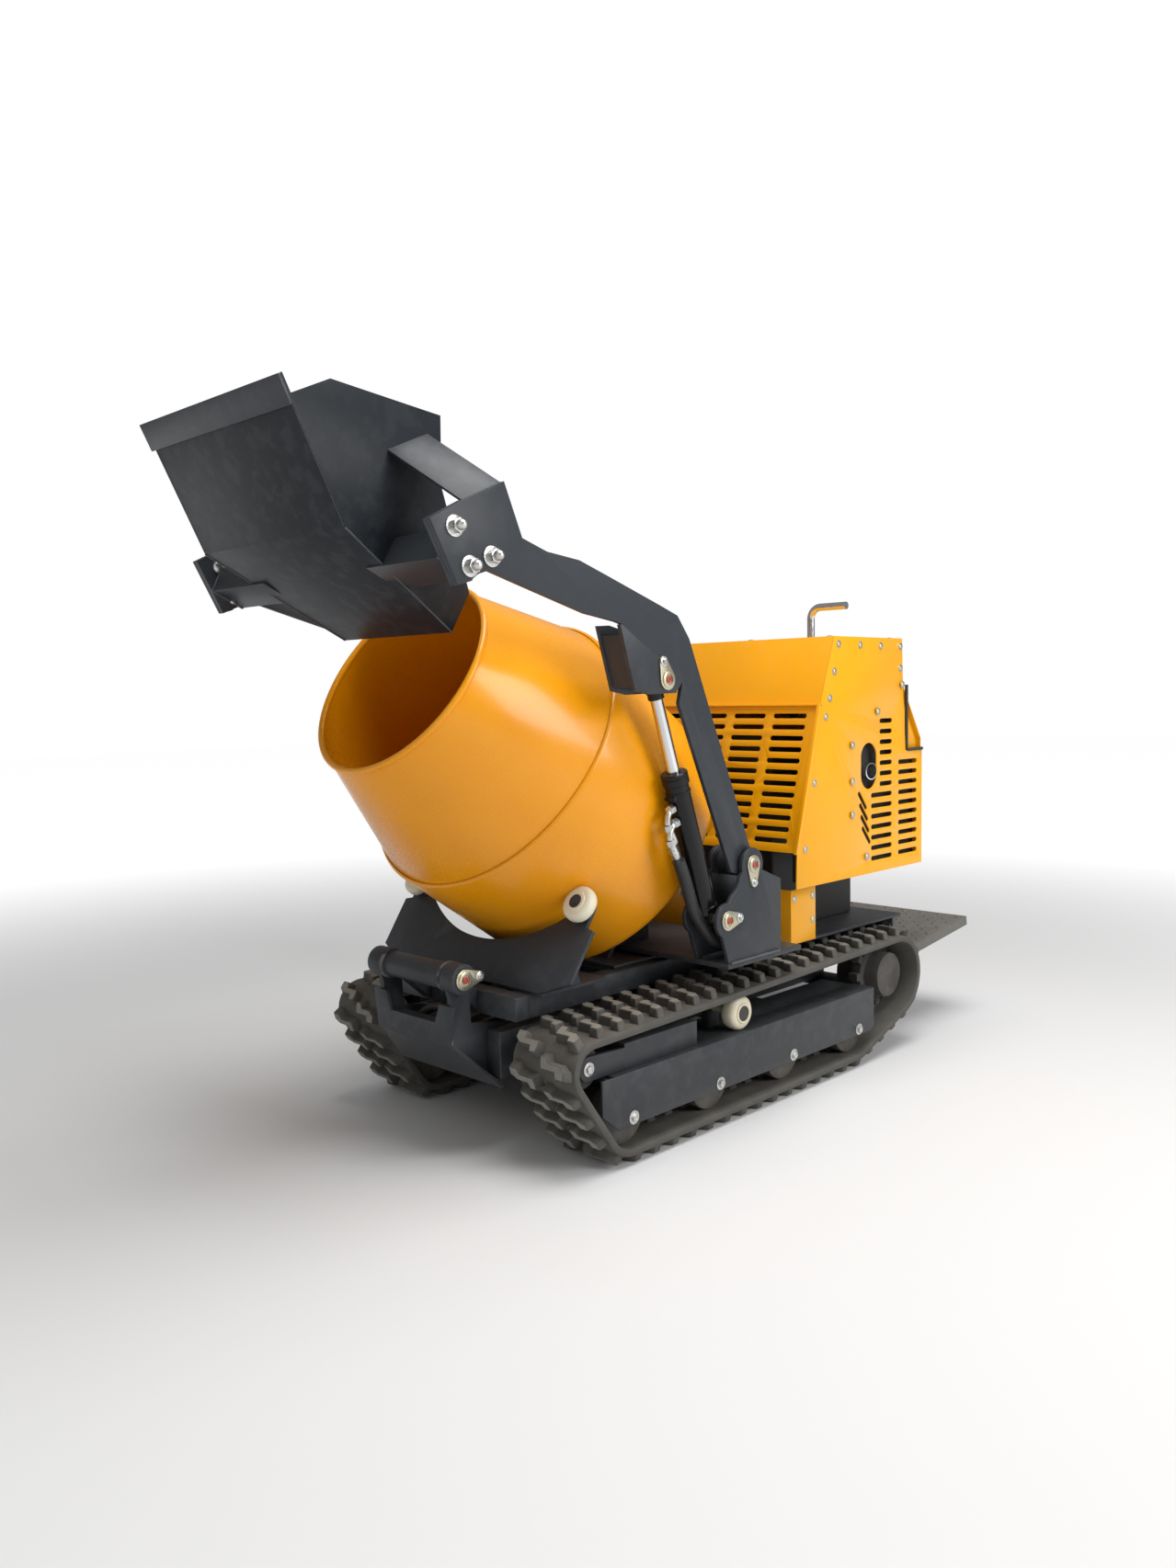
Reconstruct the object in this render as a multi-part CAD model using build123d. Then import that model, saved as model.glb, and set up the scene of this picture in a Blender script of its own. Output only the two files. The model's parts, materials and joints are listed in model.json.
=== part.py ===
from build123d import *
from math import atan2, cos, degrees, hypot, radians, sin, sqrt, tan
import os

# Tracked concrete mixer dumper: a rubber-tracked chassis with its engine at the rear, a
# tipping frame that carries the mixing drum, and a self-loading bucket on two lift arms.
# Millimetres. X runs forward, Y to the left, Z up from the ground, Y = 0 is the centre plane.
# While the machine is drawn, X = 0 is the middle of the tracks' ground contact.

# ---------------------------------------------------------------- driving dimensions
# tracks
track_outer_y = 403.0        # outer face of each track
track_width = 180.0
belt_thickness = 16.0
lug_height = 20.0
lug_length = 26.0            # along the belt
lug_pitch = 60.0
roller_radius = 63.0
roller_xs = [410.0, 126.0, -152.0, -438.0]
roller_gap = 1.0             # roller, idler and sprocket rims to the belt
idler_x, idler_z, idler_outer = 518.0, 222.0, 81.0
sprocket_x, sprocket_z, sprocket_outer = -640.0, 200.0, 128.0
sprocket_teeth = 11
carrier_x, carrier_radius = 28.0, 40.0

# chassis
rail_inner_y, rail_wall, rail_bottom, rail_height = 121.0, 44.0, 165.0, 100.0
rail_rear_x, rail_front_x = -640.0, 560.0
cheek_plate = 12.0
front_plate_x, plate_thick = 660.0, 8.0
tip_hinge_x, tip_hinge_z = 636.0, 387.0
tip_pin_radius, tip_boss_radius = 15.0, 32.0
tip_boss_in, tip_boss_out = 103.0, 145.0
tip_cyl_foot = (560.0, 215.0)
tip_cyl_eye = (180.0, 290.0)

# drum
drum_tilt = 34.17            # degrees, mouth up and forward
mouth_x, mouth_z = 666.0, 1005.0
mouth_radius, seam_radius, rear_radius = 225.0, 334.0, 339.0
seam_depth, drum_depth = 298.0, 695.0
drum_wall = 5.0
rim_radius = 7.0
blade_height, blade_length, blade_count = 85.0, 300.0, 3
hub_radius, hub_length = 28.0, 85.0
roller_depth, drum_roller_radius, drum_roller_width = 452.0, 39.0, 32.0
drum_roller_angle = 46.3     # degrees from the lowest line of the drum
rolling_gap = 0.5

# tipping frame
frame_rail_in, frame_rail_out = 172.0, 216.0
frame_rail_bottom, frame_rail_top = 295.0, 345.0
frame_rear_x, frame_front_x = -150.0, 560.0
cradle_depth, cradle_plate, cradle_gap = 489.0, 8.0, 28.0
tower_base_top, tower_base_plate = 370.0, 12.0

# lift arms, towers and lift cylinders
side_gap = 5.0               # between pieces that pass each other
barrel_radius, rod_radius = 26.0, 14.0
eye_half = 18.0              # half length of the rod's eye
eye_gap = 3.0
arm_plate, tower_plate = 10.0, 10.0
pivot = (35.0, 579.0)
lift_foot = (127.0, 467.0)
lift_eye = (300.0, 990.0)
pin_radius, pin_clearance = 12.0, 0.1
barrel_length = 343.0        # from the foot pin to the gland's face

# bucket
bucket_half, spout_half, sheet = 248.0, 182.0, 5.0
bucket_lip = (1075.0, 1501.0)
bucket_fold = (957.0, 1259.0)
bucket_spout = (673.0, 1088.0)
bucket_back = (742.0, 1351.0)
bucket_tops = [(977.0, 1508.0), (740.0, 1481.0)]
spout_rear = (638.0, 1165.0)

# hood
hood_half, hood_sheet = 388.0, 3.0
hood_top_z, hood_low_z, hood_rear_x = 1093.0, 490.0, -776.0
hood_nose = [(-352.0, 1093.0), (-289.0, 925.0), (-190.0, 576.0), (-187.0, 490.0)]
console_top = (-672.0, 988.0)
console_low_z = 828.0
notch = [(-690.0, 800.0), (-677.0, 975.0)]
deck_z, deck_thick = 336.0, 8.0

# folding platform
step_hinge_x, step_hinge_z = -800.0, 243.0
step_half, step_length, step_tilt, step_sheet = 345.0, 322.0, 6.8, 4.0

# The origin is on the ground, below the middle of the machine's full length.
step_tail_x = step_hinge_x - step_length * cos(radians(step_tilt))
strip_out = 8.0
origin_shift = -(bucket_lip[0] + step_tail_x) / 2


# ---------------------------------------------------------------- helpers
def outline(points, radius=0.0):
    """Closed straight-sided outline, its corners rounded when a radius is given."""
    face = make_face(Polyline(*points, close=True))
    return fillet(face.vertices(), radius) if radius else face


def slab(face, y_low, y_high):
    """Solid from an outline drawn in X and Z, standing between two values of Y."""
    return extrude(Plane.XZ.offset(-y_high) * face, y_high - y_low)


def bar_y(point, radius, y_low, y_high):
    """Round bar along Y through a point given in X and Z."""
    return slab(Pos(*point) * Circle(radius), y_low, y_high)


def block(x, y, z):
    """Box between pairs of X, Y and Z."""
    middle = [(low + high) / 2 for low, high in (x, y, z)]
    return Pos(*middle) * Box(*[high - low for low, high in (x, y, z)])


def ribbon(points, thick, y_low, y_high):
    """Folded sheet: a chain of X and Z points, its thickness on the left of the chain."""
    inner = []
    for i, (x, z) in enumerate(points):
        turns = []
        for a, b in zip(points[max(i - 1, 0):i + 1], points[max(i - 1, 0) + 1:i + 2]):
            run = hypot(b[0] - a[0], b[1] - a[1])
            turns.append(((a[1] - b[1]) / run, (b[0] - a[0]) / run))
        nx = sum(t[0] for t in turns)
        nz = sum(t[1] for t in turns)
        scale = thick * len(turns) / (nx * nx + nz * nz)
        inner.append((x + nx * scale, z + nz * scale))
    return slab(outline(points + inner[::-1]), y_low, y_high)


def mirrored(solid):
    """The same piece on the right-hand side."""
    return mirror(solid, Plane.XZ)


def sheet_between(corners, thick, inside):
    """Flat sheet on a planar polygon, its thickness towards a point inside."""
    face = make_face(Polyline(*corners, close=True)).face()
    normal = face.normal_at()
    if normal.dot(Vector(*inside) - face.center()) < 0:
        normal = -normal
    return extrude(face, thick, dir=normal)


def at_drum(solid):
    """Place a piece drawn about the drum: X is to the left, Y down, Z back from the mouth."""
    back = (-cos(radians(drum_tilt)), 0, -sin(radians(drum_tilt)))
    return Plane(origin=(mouth_x, 0, mouth_z), x_dir=(0, 1, 0), z_dir=back) * solid


def along(start, end, y):
    """Location with its X axis from one X-Z point to another, at a given Y."""
    lean = degrees(atan2(end[1] - start[1], end[0] - start[0]))
    return Pos(start[0], y, start[1]) * Rot(0, -lean, 0)


def rod_x(radius, x_low, x_high):
    """Round bar along its own X axis."""
    return Pos((x_low + x_high) / 2, 0, 0) * Rot(0, 90, 0) * Cylinder(radius, x_high - x_low)


def save(name, *solids):
    """Write one named piece, moved so that the origin is under the machine's middle."""
    moved = [s.moved(Location((origin_shift, 0, 0))) for s in solids]
    shape = moved[0] if len(moved) == 1 else Compound(children=moved)
    shape.label = name
    export_step(shape, f"parts/{name}.step")


def slot_row(centres, length, height):
    """Round-ended slots in one flat sketch."""
    return [Pos(*c) * SlotOverall(length, height) for c in centres]


os.makedirs("parts", exist_ok=True)

# ---------------------------------------------------------------- tracks
track_inner_y = track_outer_y - track_width
track_mid_y = track_outer_y - track_width / 2
ground_gap = belt_thickness + lug_height
roller_z = ground_gap + roller_gap + roller_radius


def belt_outline(offset):
    """Outline of the track loop, a given distance outside the wheels it runs round."""
    wheels = [
        (roller_xs[-1], roller_z, roller_radius + roller_gap),
        (roller_xs[0], roller_z, roller_radius + roller_gap),
        (idler_x, idler_z, idler_outer - ground_gap),
        (sprocket_x, sprocket_z, sprocket_outer - ground_gap),
    ]
    wheels = [(x, z, r + offset) for x, z, r in wheels]
    tangents = []
    for (xa, za, ra), (xb, zb, rb) in zip(wheels, wheels[1:] + wheels[:1]):
        run = hypot(xb - xa, zb - za)
        ux, uz = (xb - xa) / run, (zb - za) / run
        lean = (ra - rb) / run
        side = sqrt(1 - lean * lean)
        nx, nz = ux * lean + uz * side, uz * lean - ux * side
        tangents.append(((xa + ra * nx, za + ra * nz), (xb + rb * nx, zb + rb * nz)))
    edges = []
    for i, (start, end) in enumerate(tangents):
        following = tangents[(i + 1) % len(tangents)][0]
        x, z, r = wheels[(i + 1) % len(wheels)]
        half = Vector(end[0] + following[0] - 2 * x, end[1] + following[1] - 2 * z)
        if half.length < 0.2 * r:
            half = Vector(start[1] - end[1], end[0] - start[0])
        crown = Vector(x, z) + half.normalized() * r
        edges += [Line(start, end), ThreePointArc(end, (crown.X, crown.Y), following)]
    return make_face(edges)


belt_inner = belt_outline(0)
belt_outer = belt_outline(belt_thickness)
tread_limit = belt_outline(ground_gap)
belt_wire = belt_outer.wire()
lug_count = round(belt_wire.length / lug_pitch)
lugs = []
for i in range(lug_count):
    spot = belt_wire @ ((i + 0.5) / lug_count)
    heading = belt_wire % ((i + 0.5) / lug_count)
    turn = degrees(atan2(heading.Y, heading.X))
    lugs.append(Pos(spot.X, spot.Y) * Rot(0, 0, turn) * Rectangle(lug_length, 2 * lug_height + 2))
track_face = (belt_outer + lugs) & tread_limit
track_face -= belt_inner
left_track = slab(track_face, track_inner_y, track_outer_y)
save("left_track", left_track)
save("right_track", mirrored(left_track))


def twin_rim_wheel(point, rim, hub, half_width, groove):
    """Wheel with two rims and a groove between them for the belt's guide lugs."""
    wheel = bar_y(point, hub, track_mid_y - half_width, track_mid_y + half_width)
    wheel += bar_y(point, rim, track_mid_y - half_width, track_mid_y - groove)
    return wheel + bar_y(point, rim, track_mid_y + groove, track_mid_y + half_width)


rollers = [twin_rim_wheel((x, roller_z), roller_radius, 44, 57, 20) for x in roller_xs]
save("track_rollers", *rollers, *[mirrored(r) for r in rollers])

idler_half = 52.0
idler_radius = idler_outer - ground_gap - roller_gap
idler = twin_rim_wheel((idler_x, idler_z), idler_radius, 30, idler_half, 20)
save("idler_wheels", idler, mirrored(idler))

sprocket_radius = sprocket_outer - ground_gap - roller_gap
disc = Circle(sprocket_radius - 14)
for i in range(sprocket_teeth):
    disc += Rot(0, 0, 360 * i / sprocket_teeth) * Pos(sprocket_radius - 14, 0) * Rectangle(28, 20)
disc &= Circle(sprocket_radius)
sprocket = slab(Pos(sprocket_x, sprocket_z) * disc, track_mid_y - 14, track_mid_y + 14)
sprocket += bar_y((sprocket_x, sprocket_z), 58, track_inner_y + 20, track_mid_y + 55)
save("drive_sprockets", sprocket, mirrored(sprocket))

# ---------------------------------------------------------------- track frames
frame_in, frame_out = track_inner_y + 15, track_outer_y - 8
frame_low, frame_top = 85.0, 190.0
side_outline = [
    (-520, frame_low), (430, frame_low), (470, 115), (470, frame_top), (-520, frame_top),
]
inner_side = slab(outline(side_outline), frame_in, frame_in + plate_thick)
lid_y = (frame_in + plate_thick, frame_out)
frame_lid = block((-520, 470), lid_y, (frame_top - plate_thick, frame_top))
carrier_z = 236.0
post_y, carrier_in = track_mid_y - 8, track_mid_y + 37
post_x = (carrier_x - 20, carrier_x + 20)
post = block(post_x, (post_y - 20, post_y), (frame_top, carrier_z + 18))
track_frame = inner_side + frame_lid + post
save("track_frames", track_frame, mirrored(track_frame))

guard_plate = 6.0
guard_outline = [
    (-497, frame_low), (454, frame_low), (500, 123), (500, 193), (-511, 193), (-511, 97),
]
guard = slab(outline(guard_outline), frame_out, frame_out + guard_plate)
guard_z = (frame_top, frame_top + guard_plate)
guard += block((-511, 462), (track_mid_y + 25, frame_out), guard_z)
guard += block((-511, 500), (frame_out, frame_out + guard_plate), guard_z)
save("track_guards", guard, mirrored(guard))

carrier = bar_y((carrier_x, carrier_z), carrier_radius, carrier_in, frame_out - 3)
carrier += bar_y((carrier_x, carrier_z), 10, post_y, carrier_in)
save("carrier_rollers", carrier, mirrored(carrier))

fork = outline([(412, 197), (idler_x, 197), (idler_x, 247), (412, 242)])
fork += Pos(idler_x, idler_z) * Circle(25)
fork_in, fork_out = track_mid_y + idler_half + 6, track_mid_y + idler_half + 16
fork_plates = slab(fork, fork_in, fork_out)
fork_plates += bar_y((idler_x, idler_z), 12, track_mid_y + idler_half, fork_out)
cover = block((180, 412), (track_mid_y - 17, fork_out - 1), (frame_top + guard_plate, 250))
tensioner = fork_plates + cover
save("track_tensioners", tensioner, mirrored(tensioner))

# ---------------------------------------------------------------- chassis
rail_outer_y = rail_inner_y + rail_wall
rail_top = rail_bottom + rail_height
rail = block((rail_rear_x, rail_front_x), (rail_inner_y, rail_outer_y), (rail_bottom, rail_top))
save("chassis_rails", rail, mirrored(rail))

cross_xs = [(250, 330), (-330, -250)]
tubes = [block(x, (-frame_in, frame_in), (rail_bottom - 60, rail_bottom)) for x in cross_xs]
drives = block((-690, -590), (-track_inner_y - 18, track_inner_y + 18), (150, 164.5))
belly = block((-240, 240), (-rail_inner_y, rail_inner_y), (rail_bottom, rail_bottom + 6))
save("chassis_cross_members", *tubes, drives, belly)

apron_top, apron_low = (654.0, 245.0), (563.0, 149.0)
front_outline = [(-121, 245), (121, 245), (136, 332), (92, 332), (76, 292)]
front_outline += [(-y, z) for y, z in front_outline[:1:-1]]
front = extrude(Plane.YZ.offset(front_plate_x - plate_thick) * outline(front_outline), plate_thick)
apron_corners = [
    (apron_top[0], 121, apron_top[1]), (apron_low[0], 171, apron_low[1]),
    (apron_low[0], -171, apron_low[1]), (apron_top[0], -121, apron_top[1]),
]
front += sheet_between(apron_corners, plate_thick, (500, 0, 300))
cheek_outer = rail_inner_y
cheek_inner = cheek_outer - cheek_plate
cheek_outline = [
    (652, 250), (652, 345), (tip_hinge_x + 30, tip_hinge_z), (tip_hinge_x - 30, tip_hinge_z),
    (600, 285), (480, rail_top), (480, rail_bottom), (568, rail_bottom),
]
cheek = slab(outline(cheek_outline), cheek_inner, cheek_outer)
cheek += bar_y((tip_hinge_x, tip_hinge_z), tip_boss_radius, tip_boss_in, tip_boss_out)
cheek -= bar_y((tip_hinge_x, tip_hinge_z), tip_pin_radius, 90, 160)
front += cheek + mirrored(cheek)
save("front_plate", front)

tip_pin = bar_y((tip_hinge_x, tip_hinge_z), tip_pin_radius, 50, tip_boss_out)
tip_pin += bar_y((tip_hinge_x, tip_hinge_z), 26, tip_boss_out, tip_boss_out + 4)
foot_pin = bar_y(tip_cyl_foot, pin_radius, -cheek_inner, cheek_inner)
save("tipping_pins", tip_pin, mirrored(tip_pin), foot_pin)

deck_top = deck_z + deck_thick
deck = block((hood_rear_x + plate_thick, -215), (-330, 330), (deck_z, deck_top))
posts = [
    block(x, y, (rail_top, deck_z))
    for x in ((-600, -540), (-290, -230))
    for y in ((rail_inner_y, rail_outer_y), (-rail_outer_y, -rail_inner_y))
]
save("engine_deck", deck, *posts)
save("engine_block", block((-700, -330), (-215, 215), (deck_top, 850)))

# ---------------------------------------------------------------- hood
hood_in = hood_half - hood_sheet
slot_height = 12.0
side_edge = hood_nose + [(hood_rear_x, hood_low_z), (hood_rear_x, notch[0][1])] + notch
side_edge += [(console_top[0], hood_top_z)]
vents = slot_row([(-591, 880 - 27.1 * i) for i in range(7)], 61, slot_height)
vents += slot_row([(-570, 690 - 27.1 * i) for i in range(7)], 102, slot_height)
vents += slot_row([(-701, 769 - 26.6 * i) for i in range(10)], 96, slot_height)
vents += [
    Pos(-478 - 6 * i, 680 - 30 * i) * Rot(0, 0, 50) * SlotOverall(60, slot_height) for i in range(4)
]
exhaust_port = Pos(-508, 767) * Rot(0, 0, 90) * SlotOverall(118, 74)
side_face = outline(side_edge) - vents
save("hood_left_side", slab(side_face - exhaust_port, hood_in, hood_half))
save("hood_right_side", mirrored(slab(side_face, hood_in, hood_half)))

nose = ribbon(hood_nose[:3][::-1], hood_sheet, -hood_in, hood_in)
louvre_columns, louvre_rows = 6, 12
louvres = slot_row(
    [
        (122 * (c - (louvre_columns - 1) / 2), 900 - 27.1 * r)
        for c in range(louvre_columns) for r in range(louvre_rows)
    ],
    98, slot_height,
)
nose -= extrude(Plane.YZ.offset(-420) * Sketch(children=louvres), 300)
save("hood_front", nose)

top_rear_x = console_top[0]
lid_x = (top_rear_x, hood_nose[0][0] - hood_sheet)
save("hood_top", block(lid_x, (-hood_in, hood_in), (hood_top_z - hood_sheet, hood_top_z)))

console_line = [(top_rear_x, hood_top_z - hood_sheet), console_top]
console_line += [(hood_rear_x, console_low_z), (hood_rear_x, hood_low_z)]
console = ribbon(console_line, hood_sheet, -hood_in, hood_in)
cheek_tri = [(console_top[0] + 1, console_top[1] - 6), (hood_rear_x + 2, console_low_z - 3)]
cheek_tri += [(hood_rear_x + 2, notch[0][1]), notch[0]]
console_cheek = slab(outline(cheek_tri), hood_in - 16, hood_in - 13)
console += console_cheek + mirrored(console_cheek)
save("control_console", console)

skirt_x, skirt_half = -225.0, 345.0
skirt_z = (deck_top, hood_low_z - 12)
skirt_back = skirt_x - hood_sheet
skirt = block((skirt_back, skirt_x), (-skirt_half, skirt_half), skirt_z)
skirt_end = block((-330, skirt_back), (skirt_half - hood_sheet, skirt_half), skirt_z)
skirt += skirt_end + mirrored(skirt_end)
save("hood_skirt", skirt)

handle_path = FilletPolyline((-560, 0, 0), (-560, 0, 88), (-560, 110, 88), radius=30)
handle_start = Plane(origin=(-560, 0, 0), z_dir=(0, 0, 1))
handle = sweep(handle_start * Circle(10), path=handle_path)
save("grab_handle", Pos(0, 180, hood_top_z) * handle)

# ---------------------------------------------------------------- folding platform
bracket_low, bracket_high = 205.0, 336.0
bracket_x = sprocket_x - sprocket_outer - side_gap
bracket = block((bracket_x - plate_thick, bracket_x), (-300, 300), (bracket_low, bracket_high))
ear_x = bracket_x - plate_thick
ear_outline = [(ear_x, 215), (ear_x, 266), (ear_x - 5, 262), (-812, 250), (-812, 230)]
ear = slab(outline(ear_outline), 255, 265)
ear += bar_y((step_hinge_x, step_hinge_z), 13, 255, 265)
ear -= bar_y((step_hinge_x, step_hinge_z), 7, 250, 270)
stay = block((bracket_x, rail_rear_x), (rail_inner_y, rail_outer_y), (rail_bottom + 45, rail_top - 5))
bracket += ear + mirrored(ear)
bracket += stay + mirrored(stay)
save("platform_bracket", bracket)

hinge_pins = [bar_y((step_hinge_x, step_hinge_z), 6.9, 236, 266)]
step = block((-step_length, -20), (-step_half, step_half), (0, step_sheet))
rim_drop = 22.0
step += block((-step_length, step_sheet - step_length), (-step_half, step_half), (-rim_drop, 0))
for y in (-step_half, step_half - step_sheet):
    step += block((step_sheet - step_length, -20), (y, y + step_sheet), (-rim_drop, 0))
knuckle_outline = [(-60, -8), (0, -8), (0, 8), (-12, 12), (-60, 0)]
for y in (236, -248):
    knuckle = slab(outline(knuckle_outline), y, y + 12)
    step += knuckle + bar_y((0, 0), 11, y, y + 12)
step = Pos(step_hinge_x, 0, step_hinge_z) * Rot(0, step_tilt, 0) * step
step += hinge_pins[0] + mirrored(hinge_pins[0])
save("foot_platform", step)

# ---------------------------------------------------------------- tipping frame
beam = 40.0
frame_rail_z = (frame_rail_bottom, frame_rail_top)
front_beam_x = frame_front_x - beam
frame_rail = block((frame_rear_x, front_beam_x), (frame_rail_in, frame_rail_out), frame_rail_z)
save("mixer_rails", frame_rail, mirrored(frame_rail))

front_beam = block((front_beam_x, frame_front_x), (-frame_rail_out, frame_rail_out), frame_rail_z)
rear_beam_x = (frame_rear_x, frame_rear_x + beam)
rear_beam = block(rear_beam_x, (-frame_rail_in, frame_rail_in), frame_rail_z)
eye_x, eye_z = tip_cyl_eye
deck_plate = block((60, 240), (-frame_rail_in, frame_rail_in), (frame_rail_top - 8, frame_rail_top))
lug_outline = [(eye_x - 45, 337), (eye_x + 45, 337), (eye_x + 22, 268), (eye_x - 22, 268)]
tip_lug = slab(outline(lug_outline), 25, 35)
deck_plate += tip_lug + mirrored(tip_lug)
save("mixer_cross_beams", front_beam, rear_beam, deck_plate)

hinge_tube = bar_y((tip_hinge_x, tip_hinge_z), 28, -95, 95)
link_outline = [(frame_front_x, 300), (tip_hinge_x - 6, 362), (tip_hinge_x, 412), (frame_front_x, 345)]
for y in (60, -95):
    hinge_tube += slab(outline(link_outline), y, y + 35)
hinge_tube -= bar_y((tip_hinge_x, tip_hinge_z), tip_pin_radius + pin_clearance, -100, 100)
save("mixer_hinge", hinge_tube)


def drum_radius_at(depth):
    """Outer radius of the rear part of the drum at a depth behind the mouth."""
    share = (depth - seam_depth) / (drum_depth - seam_depth)
    return seam_radius + (rear_radius - seam_radius) * share


on_base = (Align.CENTER, Align.CENTER, Align.MIN)
axle_radius = 9.0
lean = radians(drum_tilt)
axis_z = mouth_z - cradle_depth * sin(lean)
low_v = (axis_z - frame_rail_top - 7) / cos(lean)
corner_v = (axis_z - 380) / cos(lean)
top_v = (axis_z - 478) / cos(lean)
arc_radius = drum_radius_at(cradle_depth) + cradle_gap
cradle_face = outline([
    (-240, low_v), (240, low_v), (314, corner_v), (316, top_v), (225, top_v - 22),
    (225, 200), (-225, 200), (-225, top_v - 22), (-316, top_v), (-314, corner_v),
])
cradle_face -= Circle(arc_radius)
axle_ring = drum_radius_at(roller_depth + drum_roller_width / 2) + rolling_gap + drum_roller_radius
axle_y = axle_ring * sin(radians(drum_roller_angle))
axle_v = axle_ring * cos(radians(drum_roller_angle))
for side in (1, -1):
    cradle_face += Pos(side * axle_y, axle_v) * Circle(22)
    cradle_face += Pos(side * axle_y, (axle_v + corner_v) / 2) * Rectangle(44, corner_v - axle_v)
cradle = extrude(Plane.XY.offset(cradle_depth) * cradle_face, cradle_plate)
for side in (1, -1):
    axle = Cylinder(axle_radius, cradle_depth - roller_depth + 4, align=on_base)
    cradle += Pos(side * axle_y, axle_v, roller_depth - 4) * axle
cradle = at_drum(cradle)
flange = block((322, 515), (150, 250), (frame_rail_top, frame_rail_top + 7))
gusset = slab(outline([(513, 350), (437, 466), (400, 350)]), 238, 246)
for piece in (flange, gusset):
    cradle += piece + mirrored(piece)
save("drum_cradle", cradle)

support_depth, support_plate = drum_depth + 57, 12.0
support_low = (mouth_z - support_depth * sin(lean) - frame_rail_top - 8) / cos(lean)
support = outline([
    (-130, support_low), (130, support_low), (130, 60), (90, -90), (-90, -90), (-130, 60),
])
support -= Circle(hub_radius + 12)
support_solid = at_drum(extrude(Plane.XY.offset(support_depth) * support, support_plate))
seat_half = frame_rail_in + 20
seat = block((20, 240), (-seat_half, seat_half), (frame_rail_top, frame_rail_top + plate_thick))
brace_depth = support_depth + support_plate
brace_top = (mouth_x - brace_depth * cos(lean), mouth_z - brace_depth * sin(lean))
brace_foot = brace_top[0] + (brace_top[1] - tower_base_top) * tan(lean)
brace = slab(outline([(brace_foot, tower_base_top), brace_top, (30, tower_base_top)]), 100, 110)
support_solid += seat + brace + mirrored(brace)
save("drum_support", support_solid)

gear_start = support_depth + support_plate
shaft_end = drum_depth + hub_length
gearbox = Pos(0, 0, gear_start + 55) * Cylinder(72, 110)
gearbox += Pos(0, 0, gear_start + 110 + 45) * Cylinder(45, 90)
gearbox += Pos(0, 0, gear_start + 6) * Cylinder(92, 12)
shaft_hole = shaft_end + 5 - gear_start
gearbox -= Pos(0, 0, gear_start + shaft_hole / 2) * Cylinder(hub_radius + pin_clearance, shaft_hole)
save("drum_drive", at_drum(gearbox))

# ---------------------------------------------------------------- drum
cone = outline([
    (mouth_radius, 0), (seam_radius, seam_depth), (seam_radius - drum_wall, seam_depth),
    (mouth_radius - drum_wall, 0),
])
cone += Pos(mouth_radius - drum_wall / 2, 0) * Circle(rim_radius)
barrel = outline([
    (seam_radius - 1, seam_depth), (rear_radius, drum_depth), (0, drum_depth),
    (0, drum_depth - drum_wall), (rear_radius - drum_wall, drum_depth - drum_wall),
    (seam_radius - 1 - drum_wall, seam_depth),
])
save("drum_front_cone", at_drum(revolve(Plane.XZ * cone, Axis.Z)))
barrel_solid = revolve(Plane.XZ * barrel, Axis.Z)
hub_base = Pos(0, 0, drum_depth) * Cylinder(90, 14, align=on_base)
hub_shaft = Pos(0, 0, drum_depth) * Cylinder(hub_radius, hub_length, align=on_base)
save("drum_barrel", at_drum(barrel_solid + hub_base + hub_shaft))

inside = outline([
    (0, 0), (mouth_radius - drum_wall, 0), (seam_radius - drum_wall - 1, seam_depth),
    (rear_radius - drum_wall, drum_depth - drum_wall), (0, drum_depth - drum_wall),
])
inside = revolve(Plane.XZ * inside, Axis.Z)
blades = []
for i in range(blade_count):
    flat = Pos(rear_radius - blade_height / 2, 0, 0) * Box(blade_height + 20, 6, blade_length)
    flat = Pos(0, 0, (seam_depth + drum_depth) / 2) * Rot(25, 0, 0) * flat
    blades.append(at_drum((Rot(0, 0, 360 * i / blade_count + 90) * flat) & inside))
save("mixing_blades", *blades)

bore = Cylinder(axle_radius + pin_clearance, 80)
for side, name in ((1, "left"), (-1, "right")):
    wheel = Cylinder(drum_roller_radius, drum_roller_width, align=on_base)
    wheel = fillet(wheel.edges().filter_by(GeomType.CIRCLE), 8) - bore
    save(f"{name}_drum_roller", at_drum(Pos(side * axle_y, axle_v, roller_depth) * wheel))

# ---------------------------------------------------------------- towers
lift_y = rear_radius + side_gap + barrel_radius
arm_in = lift_y + barrel_radius + side_gap
arm_out = arm_in + arm_plate
tower_in = arm_out + side_gap
tower_out = tower_in + tower_plate
inner_out = lift_y - barrel_radius - side_gap
inner_in = inner_out - 12
base_low = tower_base_top - tower_base_plate
base = block((-150, 125), (-tower_out, tower_out), (base_low, tower_base_top))
packers = [
    block((-150, 10), (low, low + 44), (frame_rail_top, base_low))
    for low in (frame_rail_in, -frame_rail_out)
]
save("tower_base", base, *packers)

px, pz = pivot
fx, fz = lift_foot
tower_face = outline([
    (-70, tower_base_top), (122, tower_base_top), (fx + 30, fz), (fx, fz + 30),
    (px + 34, pz - 8), (px, pz), (-70, 536),
])
tower_face += Pos(px, pz) * Circle(38)
tower_face += Pos(fx, fz) * Circle(38)
tower_face -= Pos(px + 108, pz - 6) * Circle(64)
holes = [Pos(*p) * Circle(pin_radius) for p in (pivot, lift_foot)]
tower_face -= holes
outer_tower = slab(tower_face, tower_in, tower_out)
inner_tower = slab(tower_face, inner_in, inner_out)
rear_wall = block((-70, -60), (inner_out, tower_in), (tower_base_top, 520))
tower = outer_tower + inner_tower + rear_wall
save("left_tower", tower)
save("right_tower", mirrored(tower))

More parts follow.
